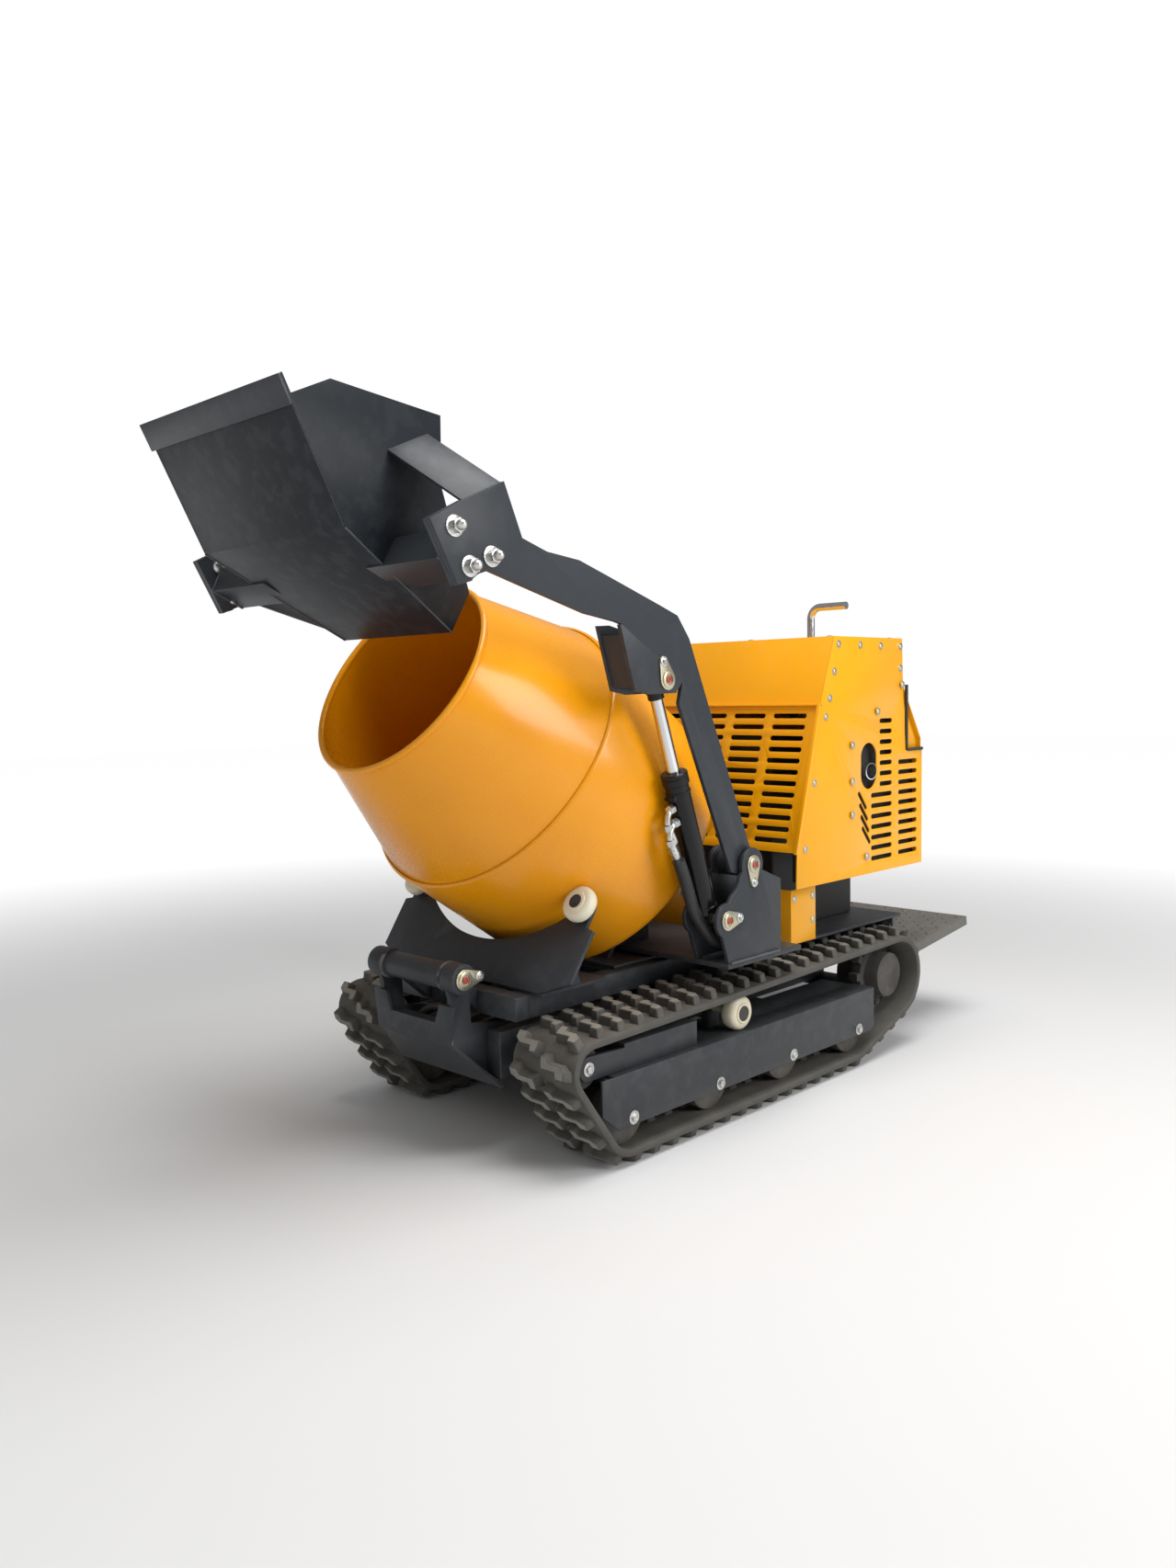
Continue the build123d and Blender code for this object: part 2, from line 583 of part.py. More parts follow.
pins = []
for point in (pivot, lift_foot):
    pin = bar_y(point, pin_radius, inner_in, tower_out)
    pins.append(pin + bar_y(point, 22, tower_out, tower_out + 4))
save("tower_pins", *pins, *[mirrored(p) for p in pins])

# ---------------------------------------------------------------- lift arms
arm_line = [
    (px, pz - 30), (93, 568), (183, 767), (262, 940), (250, 985), (270, 1030), (290, 1057),
    (403, 1091), (449, 1103), (534, 1116), (596, 1133), (705, 1163), (773, 1182), (796, 1175),
    (816, 1161), (843, 1153), (900, 1262), (824, 1300), (732, 1341), (691, 1245), (630, 1225),
    (547, 1215), (476, 1192), (322, 1141), (264, 1121), (227, 1074), (162, 925), (px - 6, 625),
    (px - 32, pz),
]
arm_face = outline(arm_line)
bracket_line = [
    (290, 1075), (250, 985), (272, 962), (354, 960), (397, 968), (437, 1098), (403, 1100),
]
bracket_face = outline(bracket_line)
arm_face += bracket_face
arm_face += Pos(px, pz) * Circle(32)
arm = slab(arm_face, arm_in, arm_out)
arm += bar_y(pivot, 28, inner_out + side_gap, arm_in)
inner_cheek_out = lift_y - eye_half - eye_gap
arm += slab(bracket_face, inner_cheek_out - 8, inner_cheek_out)
arm += block((300, 400), (inner_cheek_out, arm_in), (1064, 1072))
front_wall = outline([(395, 975), (427, 1078), (419, 1078), (387, 975)])
arm += slab(front_wall, inner_cheek_out, arm_in)
arm -= bar_y(pivot, pin_radius + pin_clearance, inner_in, tower_out)
save("left_lift_arm", arm)
save("right_lift_arm", mirrored(arm))

# ---------------------------------------------------------------- bucket
fold_x, fold_z = bucket_fold
lip_x, lip_z = bucket_lip
lip_share = 0.87
side_nose = (fold_x + (lip_x - fold_x) * lip_share, fold_z + (lip_z - fold_z) * lip_share)
upper_side = [bucket_fold, side_nose] + bucket_tops + [bucket_back]
side = slab(outline(upper_side), bucket_half - sheet, bucket_half)
shell = side + mirrored(side) + ribbon([bucket_fold, bucket_lip], sheet, -bucket_half, bucket_half)
fold_l = Vector(fold_x, bucket_half, fold_z)
back_l = Vector(bucket_back[0], bucket_half, bucket_back[1])
spout_l = Vector(bucket_spout[0], spout_half, bucket_spout[1])
plane_normal = (back_l - fold_l).cross(spout_l - fold_l)
rear_off = plane_normal.X * (spout_rear[0] - fold_x) + plane_normal.Z * (spout_rear[1] - fold_z)
rear_y = bucket_half - rear_off / plane_normal.Y
rear_l = Vector(spout_rear[0], rear_y, spout_rear[1])
lower_side = sheet_between([fold_l, back_l, rear_l, spout_l], sheet, (760, 0, 1250))
floor_corners = [
    fold_l, spout_l, (spout_l.X, -spout_l.Y, spout_l.Z), (fold_x, -bucket_half, fold_z),
]
shell += sheet_between(floor_corners, sheet, (760, 0, 1300))
shell += lower_side + mirrored(lower_side)
save("bucket_shell", shell)

rise = hypot(lip_x - fold_x, lip_z - fold_z)
edge_start = (lip_x - (lip_x - fold_x) / rise * 53, lip_z - (lip_z - fold_z) / rise * 53)
strip = ribbon([bucket_lip, edge_start], strip_out, -bucket_half - 3, bucket_half + 3)
save("cutting_edge", strip)

flange_in = arm_in - arm_plate
flange_face = outline([
    (900, 1262), (824, 1300), (752, 1290), (730, 1200), (773, 1182), (843, 1153),
])
flange_plate = slab(flange_face, flange_in, arm_in)
tube_line = [(797, 1166), (868, 1200), (842, 1252), (771, 1218)]
tube = slab(outline(tube_line), 180, flange_in)
tube -= slab(offset(outline(tube_line), -sheet), 170, flange_in)
bucket_core = extrude(
    make_face(Polyline(fold_l, back_l, rear_l, spout_l, close=True)), 120, dir=(0, -1, 0)
)
tube -= bucket_core
brace_corners = [
    (812, flange_in + 4, 1300), (722, flange_in + 4, 1340),
    (772, bucket_half, 1444), (862, bucket_half, 1404),
]
brace_sheet = sheet_between(brace_corners, sheet, (760, 300, 1250))
mount = flange_plate + tube.solids().sort_by(Axis.Y)[-1] + brace_sheet
mount -= [side, lower_side]
save("bucket_mounts", mount, mirrored(mount))

# ---------------------------------------------------------------- cylinders
lift_reach = hypot(lift_eye[0] - fx, lift_eye[1] - fz)
for side, name in ((1, "left"), (-1, "right")):
    place = along(lift_foot, lift_eye, side * lift_y)
    barrel = rod_x(barrel_radius, 16, barrel_length)
    barrel += Rot(90, 0, 0) * Cylinder(24, 2 * (barrel_radius - 2))
    barrel -= Rot(90, 0, 0) * Cylinder(pin_radius + pin_clearance, 100)
    barrel -= rod_x(rod_radius + pin_clearance, 100, barrel_length + 1)
    save(f"{name}_lift_barrel", place * barrel)
    rod = rod_x(rod_radius, 270, lift_reach - 10)
    rod += Pos(lift_reach, 0, 0) * Rot(90, 0, 0) * Cylinder(22, 2 * eye_half)
    rod -= Pos(lift_reach, 0, 0) * Rot(90, 0, 0) * Cylinder(pin_radius + pin_clearance, 100)
    save(f"{name}_lift_rod", place * rod)

tip_reach = hypot(eye_x - tip_cyl_foot[0], eye_z - tip_cyl_foot[1])
place = along(tip_cyl_foot, tip_cyl_eye, 0)
tip_barrel = rod_x(32, 16, 300) + Rot(90, 0, 0) * Cylinder(26, 44)
tip_barrel -= Rot(90, 0, 0) * Cylinder(pin_radius + pin_clearance, 100)
tip_barrel -= rod_x(16 + pin_clearance, 60, 301)
save("tip_barrel", place * tip_barrel)
tip_rod = rod_x(16, 90, tip_reach - 10) + Pos(tip_reach, 0, 0) * Rot(90, 0, 0) * Cylinder(22, 36)
tip_rod -= Pos(tip_reach, 0, 0) * Rot(90, 0, 0) * Cylinder(pin_radius + pin_clearance, 100)
save("tip_rod", place * tip_rod)
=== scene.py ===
# %% [markdown]
# # A tracked concrete mixer dumper
# The engineering model already holds every plate, pin and cylinder in its place. This script
# dresses it: it gives each piece its paint, rounds the cut edges, and adds what a workshop would
# bolt, weld or press on afterwards, such as tread, nuts, hoses and the retainers of the pins.

# %% Load the engineering model
import json
import math

import bpy
from mathutils import Matrix, Vector
from mathutils.geometry import convex_hull_2d


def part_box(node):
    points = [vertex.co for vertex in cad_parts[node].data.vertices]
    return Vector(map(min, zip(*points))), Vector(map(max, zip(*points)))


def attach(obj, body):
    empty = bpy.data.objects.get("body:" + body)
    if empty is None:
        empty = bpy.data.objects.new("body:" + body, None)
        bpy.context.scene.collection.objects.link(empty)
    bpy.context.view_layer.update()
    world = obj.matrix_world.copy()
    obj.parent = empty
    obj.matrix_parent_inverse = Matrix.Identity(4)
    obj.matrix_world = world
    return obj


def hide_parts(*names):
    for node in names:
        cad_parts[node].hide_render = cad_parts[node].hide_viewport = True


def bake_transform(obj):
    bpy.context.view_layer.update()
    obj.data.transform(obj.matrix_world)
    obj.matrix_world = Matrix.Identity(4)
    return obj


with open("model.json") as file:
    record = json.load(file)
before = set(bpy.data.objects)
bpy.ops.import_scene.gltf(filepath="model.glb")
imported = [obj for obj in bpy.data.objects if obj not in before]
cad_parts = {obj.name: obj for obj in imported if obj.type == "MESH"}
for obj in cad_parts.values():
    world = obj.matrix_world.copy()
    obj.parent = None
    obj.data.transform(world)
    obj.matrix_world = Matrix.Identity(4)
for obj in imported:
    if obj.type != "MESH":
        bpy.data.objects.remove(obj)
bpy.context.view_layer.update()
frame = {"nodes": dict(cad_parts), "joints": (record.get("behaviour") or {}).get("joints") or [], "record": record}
MM = 0.001

# %% [markdown]
# Places are given in millimetres from the middle of the tracks' contact with the ground, as on
# the machine's own drawings: x forward, y to the left, z up. The pivot of the lift arms stands
# 35 mm ahead of that middle, which ties the drawing to the loaded model.

# %% Places on the machine
joints = {j["name"]: Vector(j["pos_m"]) for j in frame["joints"] if "pos_m" in j}
mid_x = joints["arm_lift"].x - 35 * MM


def at(x, y, z):
    """A place on the machine, from millimetres to the model's metres."""
    return Vector((mid_x + x * MM, y * MM, z * MM))


def drawn(point):
    """A place in the model, back in millimetres from the middle of the tracks."""
    return (point.x - mid_x) / MM, point.y / MM, point.z / MM


arm_pivot = drawn(joints["arm_lift"])
lift_foot = drawn(joints["left_barrel_swing"])
front_hinge = drawn(joints["mixer_tip"])
step_hinge = drawn(joints["platform_fold"])
SIDES = ((1, "left"), (-1, "right"))
print("arm pivot", [round(v) for v in arm_pivot], "lift foot", [round(v) for v in lift_foot])

# %% [markdown]
# ## The camera and the light
# The camera stands at eye level of someone kneeling, ahead of the machine and to its left. A
# camera is easiest to aim with its three axes: forward from yaw and pitch, then right and up
# turned by the small roll. Soft studio light comes from large lamps overhead, in front and on the
# left. The white sky is seen at its full strength, but lights the machine with less of it, so
# that the undersides keep their shade.

# %% Camera
yaw, pitch, roll = (math.radians(a) for a in (224.598, -4.337, -1.06))
eye = at(2164.5, 2017.4, 965)
forward = Vector((
    math.cos(pitch) * math.cos(yaw), math.cos(pitch) * math.sin(yaw), math.sin(pitch)))
sideways = forward.cross(Vector((0, 0, 1))).normalized()
upward = sideways.cross(forward)
right = sideways * math.cos(roll) + upward * math.sin(roll)
top = upward * math.cos(roll) - sideways * math.sin(roll)
camera_data = bpy.data.cameras.new("camera")
camera_data.lens = 27.5
camera_data.sensor_width = 36
camera = bpy.data.objects.new("camera", camera_data)
turned = Matrix((right, top, -forward)).transposed().to_4x4()
camera.matrix_world = Matrix.Translation(eye) @ turned
bpy.context.scene.collection.objects.link(camera)
bpy.context.scene.camera = camera
bpy.context.scene.view_settings.view_transform = "Standard"
print("camera at", [round(v, 3) for v in eye])


# %% Lamps and sky
SKY_LIGHT, SKY_SEEN = 0.29, 1.0


def lamp(name, place, target, size, power):
    """A square soft lamp that looks at a place."""
    data = bpy.data.lights.new(name, "AREA")
    data.shape, data.size, data.energy = "SQUARE", size, power
    light = bpy.data.objects.new(name, data)
    light.location = place
    light.rotation_euler = (Vector(target) - Vector(place)).to_track_quat("-Z", "Y").to_euler()
    bpy.context.scene.collection.objects.link(light)


lamp("overhead", (0.2, 0.9, 4.2), (0, 0, 0.6), 2.4, 125)
lamp("front_left", (3.6, 1.2, 2.6), (0, 0, 0.7), 2.2, 10)
lamp("left_side", (-0.9, 4.2, 2.4), (0, 0, 0.6), 2.0, 96)
world = bpy.data.worlds.new("studio")
world.use_nodes = True
sky = world.node_tree.nodes["Background"]
sky.inputs["Color"].default_value = (1, 1, 1, 1)
seen = world.node_tree.nodes.new("ShaderNodeLightPath")
strength = world.node_tree.nodes.new("ShaderNodeMapRange")
strength.inputs["To Min"].default_value = SKY_LIGHT
strength.inputs["To Max"].default_value = SKY_SEEN
world.node_tree.links.new(seen.outputs["Is Camera Ray"], strength.inputs["Value"])
world.node_tree.links.new(strength.outputs["Result"], sky.inputs["Strength"])
bpy.context.scene.world = world
print("lamps", len(bpy.data.lights))

# %% [markdown]
# ## Finishes
# A finish is more than one colour. Paint pools and thins a little, dust gathers low down and on
# ledges, and edges wear first. These three effects are node groups, built once and placed in
# each finish with their own values.


# %% Tools for node trees
def add_node(tree, kind, values=None, **settings):
    """A node with its settings and the values of its sockets."""
    made = tree.nodes.new(kind)
    for key, value in settings.items():
        setattr(made, key, value)
    for key, value in (values or {}).items():
        made.inputs[key].default_value = value
    return made


def new_group(name, inputs, outputs):
    """An empty shader group with named number sockets."""
    tree = bpy.data.node_groups.new(name, "ShaderNodeTree")
    for key, value in inputs.items():
        socket = tree.interface.new_socket(key, in_out="INPUT", socket_type="NodeSocketFloat")
        socket.default_value = value
    for key in outputs:
        tree.interface.new_socket(key, in_out="OUTPUT", socket_type="NodeSocketFloat")
    return tree, add_node(tree, "NodeGroupInput"), add_node(tree, "NodeGroupOutput")


def maths(tree, operation, first, second=None, clamp=False):
    """One sum in a node tree, of sockets or numbers."""
    made = add_node(tree, "ShaderNodeMath", operation=operation, use_clamp=clamp)
    for socket, value in zip(made.inputs, (first, second)):
        if isinstance(value, (int, float)):
            socket.default_value = value
        elif value is not None:
            tree.links.new(value, socket)
    return made.outputs[0]


def noise(tree, vector, scale, detail=3.0, rough=0.55):
    """Cloudy noise; its scale is a number or a socket."""
    made = add_node(tree, "ShaderNodeTexNoise", {"Detail": detail, "Roughness": rough})
    tree.links.new(vector, made.inputs["Vector"])
    if isinstance(scale, (int, float)):
        made.inputs["Scale"].default_value = scale
    else:
        tree.links.new(scale, made.inputs["Scale"])
    return made.outputs["Fac"]


def contrast(tree, value, low, high):
    """Stretch a mask so that low becomes 0 and high becomes 1."""
    made = add_node(tree, "ShaderNodeMapRange", {"From Min": low, "From Max": high})
    tree.links.new(value, made.inputs["Value"])
    return made.outputs["Result"]


# %% The three shared effects
cloud_group, inside, out = new_group("Cloudy paint", {"Scale": 4.0}, ["Cloud", "Grain"])
where = add_node(cloud_group, "ShaderNodeTexCoord").outputs["Object"]
broad = noise(cloud_group, where, inside.outputs["Scale"])
fine = noise(cloud_group, where, maths(cloud_group, "MULTIPLY", inside.outputs["Scale"], 60.0))
cloud_group.links.new(contrast(cloud_group, broad, 0.3, 0.7), out.inputs["Cloud"])
cloud_group.links.new(fine, out.inputs["Grain"])

dust_group, inside, out = new_group(
    "Settled dust", {"Reach": 0.4, "Amount": 0.3, "Scale": 14.0}, ["Dust"])
where = add_node(dust_group, "ShaderNodeTexCoord").outputs["Object"]
split = add_node(dust_group, "ShaderNodeSeparateXYZ")
dust_group.links.new(where, split.inputs[0])
height = maths(dust_group, "DIVIDE", split.outputs["Z"], inside.outputs["Reach"])
low = maths(dust_group, "SUBTRACT", 1.0, height, clamp=True)
facing = add_node(dust_group, "ShaderNodeNewGeometry")
slope = add_node(dust_group, "ShaderNodeSeparateXYZ")
dust_group.links.new(facing.outputs["Normal"], slope.inputs[0])
ledge = maths(dust_group, "MULTIPLY", maths(dust_group, "MAXIMUM", slope.outputs["Z"], 0.0), 0.5)
spread = maths(dust_group, "ADD", low, ledge)
patch = contrast(dust_group, noise(dust_group, where, inside.outputs["Scale"], 5.0), 0.1, 0.9)
both = maths(dust_group, "MULTIPLY", spread, patch)
dust_group.links.new(
    maths(dust_group, "MULTIPLY", both, inside.outputs["Amount"], clamp=True), out.inputs["Dust"])

wear_group, inside, out = new_group("Edge wear", {"Amount": 0.5, "Scale": 30.0}, ["Wear"])
where = add_node(wear_group, "ShaderNodeTexCoord").outputs["Object"]
crest = contrast(
    wear_group, add_node(wear_group, "ShaderNodeNewGeometry").outputs["Pointiness"], 0.52, 0.62)
chips = contrast(wear_group, noise(wear_group, where, inside.outputs["Scale"], 6.0), 0.48, 0.62)
worn = maths(wear_group, "MULTIPLY", crest, chips)
wear_group.links.new(
    maths(wear_group, "MULTIPLY", worn, inside.outputs["Amount"], clamp=True), out.inputs["Wear"])
print("groups", [g.name for g in bpy.data.node_groups])


# %% One recipe for every finish
DUST = (0.33, 0.29, 0.24)
A_SOCKET, B_SOCKET, MIXED = 6, 7, 2
DUST_MATT = 0.6
COAT_ROUGHNESS = 0.08


def lay_over(tree, mask, under, over):
    """Lay a colour over another one through a mask."""
    made = add_node(tree, "ShaderNodeMix", data_type="RGBA")
    tree.links.new(mask, made.inputs[0])
    for index, value in ((A_SOCKET, under), (B_SOCKET, over)):
        if isinstance(value, tuple):
            made.inputs[index].default_value = (*value, 1)
        else:
            tree.links.new(value, made.inputs[index])
    return made.outputs[MIXED]


def place_group(tree, group, **values):
    """One of the shared effects inside a finish, with its own values."""
    made = add_node(tree, "ShaderNodeGroup")
    made.node_tree = group
    for key, value in values.items():
        made.inputs[key].default_value = value
    return made


def finish(name, colour, shade, rough, metal=0.0, coat=0.0, cloud=4.0, bump=0.1, spread=0.12,
           dust=0.3, reach=0.4, dust_colour=DUST, wear=0.0, worn=(0.35, 0.35, 0.36), gloss=0.5):
    """A finish of one base colour, its cloudy shade, dust near the ground and worn edges."""
    material = bpy.data.materials.new(name)
    material.use_nodes = True
    tree = material.node_tree
    shader = tree.nodes["Principled BSDF"]
    clouds = place_group(tree, cloud_group, Scale=cloud)
    dusty = place_group(tree, dust_group, Reach=reach, Amount=dust)
    base = lay_over(tree, clouds.outputs["Cloud"], colour, shade)
    if wear:
        edges = place_group(tree, wear_group, Amount=wear)
        base = lay_over(tree, edges.outputs["Wear"], base, worn)
    tree.links.new(
        lay_over(tree, dusty.outputs["Dust"], base, dust_colour), shader.inputs["Base Color"])
    grainy = maths(tree, "MULTIPLY_ADD", clouds.outputs["Grain"], spread)
    grainy.node.inputs[2].default_value = rough - spread / 2
    matt = maths(tree, "MULTIPLY", dusty.outputs["Dust"], DUST_MATT)
    tree.links.new(maths(tree, "ADD", grainy, matt, clamp=True), shader.inputs["Roughness"])
    relief = add_node(tree, "ShaderNodeBump", {"Strength": bump, "Distance": 0.001})
    tree.links.new(clouds.outputs["Grain"], relief.inputs["Height"])
    tree.links.new(relief.outputs["Normal"], shader.inputs["Normal"])
    shader.inputs["Metallic"].default_value = metal
    shader.inputs["Specular IOR Level"].default_value = gloss
    shader.inputs["Coat Weight"].default_value = coat
    shader.inputs["Coat Roughness"].default_value = COAT_ROUGHNESS
    return material


# %% [markdown]
# Each finish is kept under the name of the material slot that the parts list gives it, so a node
# finds its finish by its slot. The yellow is a warm gloss enamel, the dark grey a satin one. A few
# more finishes have no slot of their own: the drum is a deeper orange than the hood and the arms,
# the bucket's grey is darkened with painted shade, for the shade that lies on its front, and the
# tops of the tread lugs are scuffed pale.

# %% The machine's finishes
finishes = {
    "yellow_paint": finish(
        "yellow_enamel", (0.92, 0.410, 0.0), (0.86, 0.375, 0.0), 0.30, coat=0.12, gloss=0.35,
        bump=0.03, dust=0.14, reach=0.7, spread=0.05, wear=0.18, worn=(0.78, 0.47, 0.10)),
    "anthracite_paint": finish(
        "grey_enamel", (0.030, 0.035, 0.042), (0.026, 0.030, 0.036), 0.44, gloss=0.35, bump=0.08,
        dust=0.09, reach=0.45, wear=0.3, worn=(0.11, 0.12, 0.13)),
    "track_rubber": finish(
        "moulded_rubber", (0.048, 0.048, 0.044), (0.060, 0.059, 0.053), 0.74, bump=0.2,
        cloud=9, dust=0.22, reach=0.9, wear=0.6, worn=(0.10, 0.098, 0.088)),
    "wheel_steel": finish(
        "wheel_enamel", (0.018, 0.019, 0.021), (0.030, 0.030, 0.032), 0.5, bump=0.2, dust=0.6,
        wear=0.8, worn=(0.25, 0.24, 0.23)),
    "roller_nylon": finish(
        "cast_nylon", (0.80, 0.76, 0.60), (0.70, 0.64, 0.46), 0.42, bump=0.1, dust=0.5,
        wear=0.2, worn=(0.5, 0.44, 0.32)),
    "zinc_plate": finish(
        "yellow_zinc", (0.62, 0.56, 0.36), (0.50, 0.48, 0.42), 0.32, metal=0.9, bump=0.15,
        cloud=30, dust=0.2),
    "engine_black": finish(
        "engine_enamel", (0.014, 0.014, 0.015), (0.022, 0.020, 0.019), 0.6, bump=0.3, dust=0.4),
    "chrome": finish(
        "hard_chrome", (0.72, 0.72, 0.73), (0.62, 0.62, 0.64), 0.16, metal=1.0, bump=0.02,
        dust=0.1, spread=0.04),
    "checker_plate": finish(
        "checker_enamel", (0.100, 0.098, 0.090), (0.120, 0.116, 0.106), 0.46, bump=0.15, dust=0.25,
        reach=0.6, wear=0.08, worn=(0.32, 0.31, 0.29)),
    "blade_steel": finish(
        "scraped_enamel", (0.030, 0.034, 0.042), (0.026, 0.029, 0.036), 0.40, gloss=0.4,
        bump=0.12, dust=0.1, wear=0.08, worn=(0.2, 0.2, 0.21)),
    "cylinder_black": finish(
        "cylinder_enamel", (0.005, 0.005, 0.006), (0.008, 0.008, 0.008), 0.24, gloss=0.3, bump=0.04,
        dust=0.15),
}
bright_zinc = finish("bright_zinc", (0.66, 0.66, 0.64), (0.52, 0.52, 0.50), 0.28, metal=0.95,
                     bump=0.2, cloud=60, dust=0.15)
hose_rubber = finish("hose_rubber", (0.016, 0.016, 0.017), (0.026, 0.026, 0.026), 0.5, bump=0.3,
                     cloud=20, dust=0.35)
red_mark = finish("red_enamel", (0.42, 0.060, 0.035), (0.34, 0.045, 0.025), 0.4, cloud=50, dust=0.1)
weld_steel = finish("weld_bead", (0.085, 0.092, 0.100), (0.055, 0.060, 0.066), 0.38, bump=0.6,
                    cloud=50, dust=0.3)
# The bucket's grey is darker than the arms' grey as painted shade, for the shade that lies on its front.
bucket_painted_shade_enamel = finish("bucket_painted_shade_enamel", (0.014, 0.017, 0.022), (0.012, 0.015, 0.019), 0.42,
                       gloss=0.2, bump=0.08, dust=0.08, wear=0.2, worn=(0.11, 0.12, 0.13))
drum_enamel = finish("drum_enamel", (0.87, 0.340, 0.0), (0.80, 0.300, 0.0), 0.27, coat=0.15,
                     gloss=0.4, bump=0.03, dust=0.12, reach=0.7, spread=0.05)
worn_rubber = finish("worn_rubber", (0.17, 0.168, 0.152), (0.22, 0.216, 0.195), 0.7, bump=0.25,
                     cloud=40, dust=0.35, reach=0.9)
print("finishes", len(bpy.data.materials))

# %% Give each node its finish
for part in frame["record"]["subparts"]:
    slots = frame["nodes"][part["node"]].data.materials
    slots.clear()
    slots.append(finishes[part["material_slot"]])
body_of = {n: b for b, members in frame["record"]["behaviour"]["bodies"].items() for n in members}

# %% [markdown]
# ## The floor
# A pale floor catches the machine's shadow. It is staged, not part of the machine. It brightens
# with distance, so that it meets the white sky without a dark band.

# %% Floor
GLOW_START, GLOW_END, GLOW = 1.6, 5.5, 0.75
bpy.ops.object.select_all(action="DESELECT")
bpy.ops.mesh.primitive_plane_add(size=40)
floor = bpy.context.object
floor.name = "studio_floor"
pale = bpy.data.materials.new("pale_floor")
pale.use_nodes = True
tree = pale.node_tree
shader = tree.nodes["Principled BSDF"]
shader.inputs["Base Color"].default_value = (0.8, 0.8, 0.8, 1)
shader.inputs["Roughness"].default_value = 0.75
shader.inputs["Emission Color"].default_value = (1, 1, 1, 1)
distance = add_node(tree, "ShaderNodeVectorMath", operation="LENGTH")
tree.links.new(add_node(tree, "ShaderNodeTexCoord").outputs["Object"], distance.inputs[0])
glow = add_node(tree, "ShaderNodeMapRange", {
    "From Min": GLOW_START, "From Max": GLOW_END, "To Min": 0.0, "To Max": GLOW},
    interpolation_type="SMOOTHSTEP")
tree.links.new(distance.outputs["Value"], glow.inputs["Value"])
tree.links.new(glow.outputs["Result"], shader.inputs["Emission Strength"])
floor.data.materials.append(pale)
print("floor", tuple(floor.dimensions))

# %% [markdown]
# ## Tools for modelling
# Most added pieces are turned, cut from plate, or bent from tube. A turned piece starts as a
# circle that is extruded and scaled ring by ring, a plate starts as a polygon that is extruded,
# and a tube is a curve with a round bevel.


# %% Selecting and shaping
def clear():
    """Nothing selected, because an operator acts on all that is."""
    bpy.ops.object.select_all(action="DESELECT")


def pick(piece):
    """Only this piece selected and active."""
    clear()
    piece.select_set(True)
    bpy.context.view_layer.objects.active = piece


def copied(piece, name):
    """A copy with its own mesh."""
    made = piece.copy()
    made.data = piece.data.copy()
    made.name = made.data.name = name
    bpy.context.scene.collection.objects.link(made)
    return made


def applied(piece, kind, **settings):
    """Add a modifier and apply it."""
    pick(piece)
    modifier = piece.modifiers.new(kind.lower(), kind)
    for key, value in settings.items():
        setattr(modifier, key, value)
    bpy.ops.object.modifier_apply(modifier=modifier.name)
    return piece


def rounded(piece, width, segments=2, angle=35):
    """Round the sharp edges of a piece, by a width in millimetres, and shade it smooth."""
    applied(piece, "BEVEL", width=width * MM, segments=segments, limit_method="ANGLE",
            angle_limit=math.radians(angle))
    pick(piece)
    bpy.ops.object.shade_smooth_by_angle(angle=math.radians(angle))
    return piece


def open_up():
    """Edit mode, with everything selected."""
    bpy.ops.object.mode_set(mode="EDIT")
    bpy.ops.mesh.select_all(action="SELECT")


def close_up():
    """All faces turned outwards, then back to object mode."""
    bpy.ops.mesh.select_all(action="SELECT")
    bpy.ops.mesh.normals_make_consistent(inside=False)
    bpy.ops.object.mode_set(mode="OBJECT")


def polygon(name, corners, fill_type="NGON"):
    """A polygon with corners in the model's metres, opened up to be extruded."""
    clear()
    bpy.ops.mesh.primitive_circle_add(vertices=len(corners), radius=MM, fill_type=fill_type)
    piece = bpy.context.object
    piece.name = piece.data.name = name
    for vertex, corner in zip(piece.data.vertices, corners):
        vertex.co = corner
    open_up()
    return piece


def extrude(x, y, z):
    """Draw the selection out by a way in millimetres."""
    bpy.ops.mesh.extrude_region_move(TRANSFORM_OT_translate={"value": (x * MM, y * MM, z * MM)})


def turned_piece(name, profile, sides=32, smooth=35, hollow=False):
    """A turned piece from pairs of radius and height, in millimetres, standing on Z.

    A hollow one has no caps, so its profile goes round and ends where it began.
    """
    clear()
    radius, height = profile[0]
    bpy.ops.mesh.primitive_circle_add(
        vertices=sides, radius=radius * MM, fill_type="NOTHING" if hollow else "NGON",
        location=(0, 0, height * MM))
    piece = bpy.context.object
    piece.name = piece.data.name = name
    bpy.ops.object.transform_apply()
    open_up()
    for r, z in profile[1:]:
        extrude(0, 0, z - height)
        bpy.ops.transform.resize(value=(r / radius, r / radius, 1), center_override=(0, 0, 0))
        radius, height = r, z
    bpy.ops.mesh.select_all(action="SELECT")
    if hollow:
        bpy.ops.mesh.remove_doubles(threshold=0.01 * MM)
    close_up()
    bpy.ops.object.shade_smooth_by_angle(angle=math.radians(smooth))
    return piece


def aim(piece, place, direction=(0, 0, 1), turn=0.0):
    """Move a piece made about the origin to its place, its Z axis along a direction."""
    lean = Vector(direction).to_track_quat("Z", "Y").to_matrix().to_4x4()
    spin = Matrix.Rotation(math.radians(turn), 4, "Z")
    piece.data.transform(Matrix.Translation(at(*place)) @ lean @ spin)
    return piece


def cut_plate(name, outline, low, high, radius=1.0):
    """A plate with an outline in x and z, between two values of y, with rounded edges."""
    piece = polygon(name, [at(x, low, z) for x, z in outline])
    extrude(0, high - low, 0)
    close_up()
    return rounded(piece, radius) if radius else piece


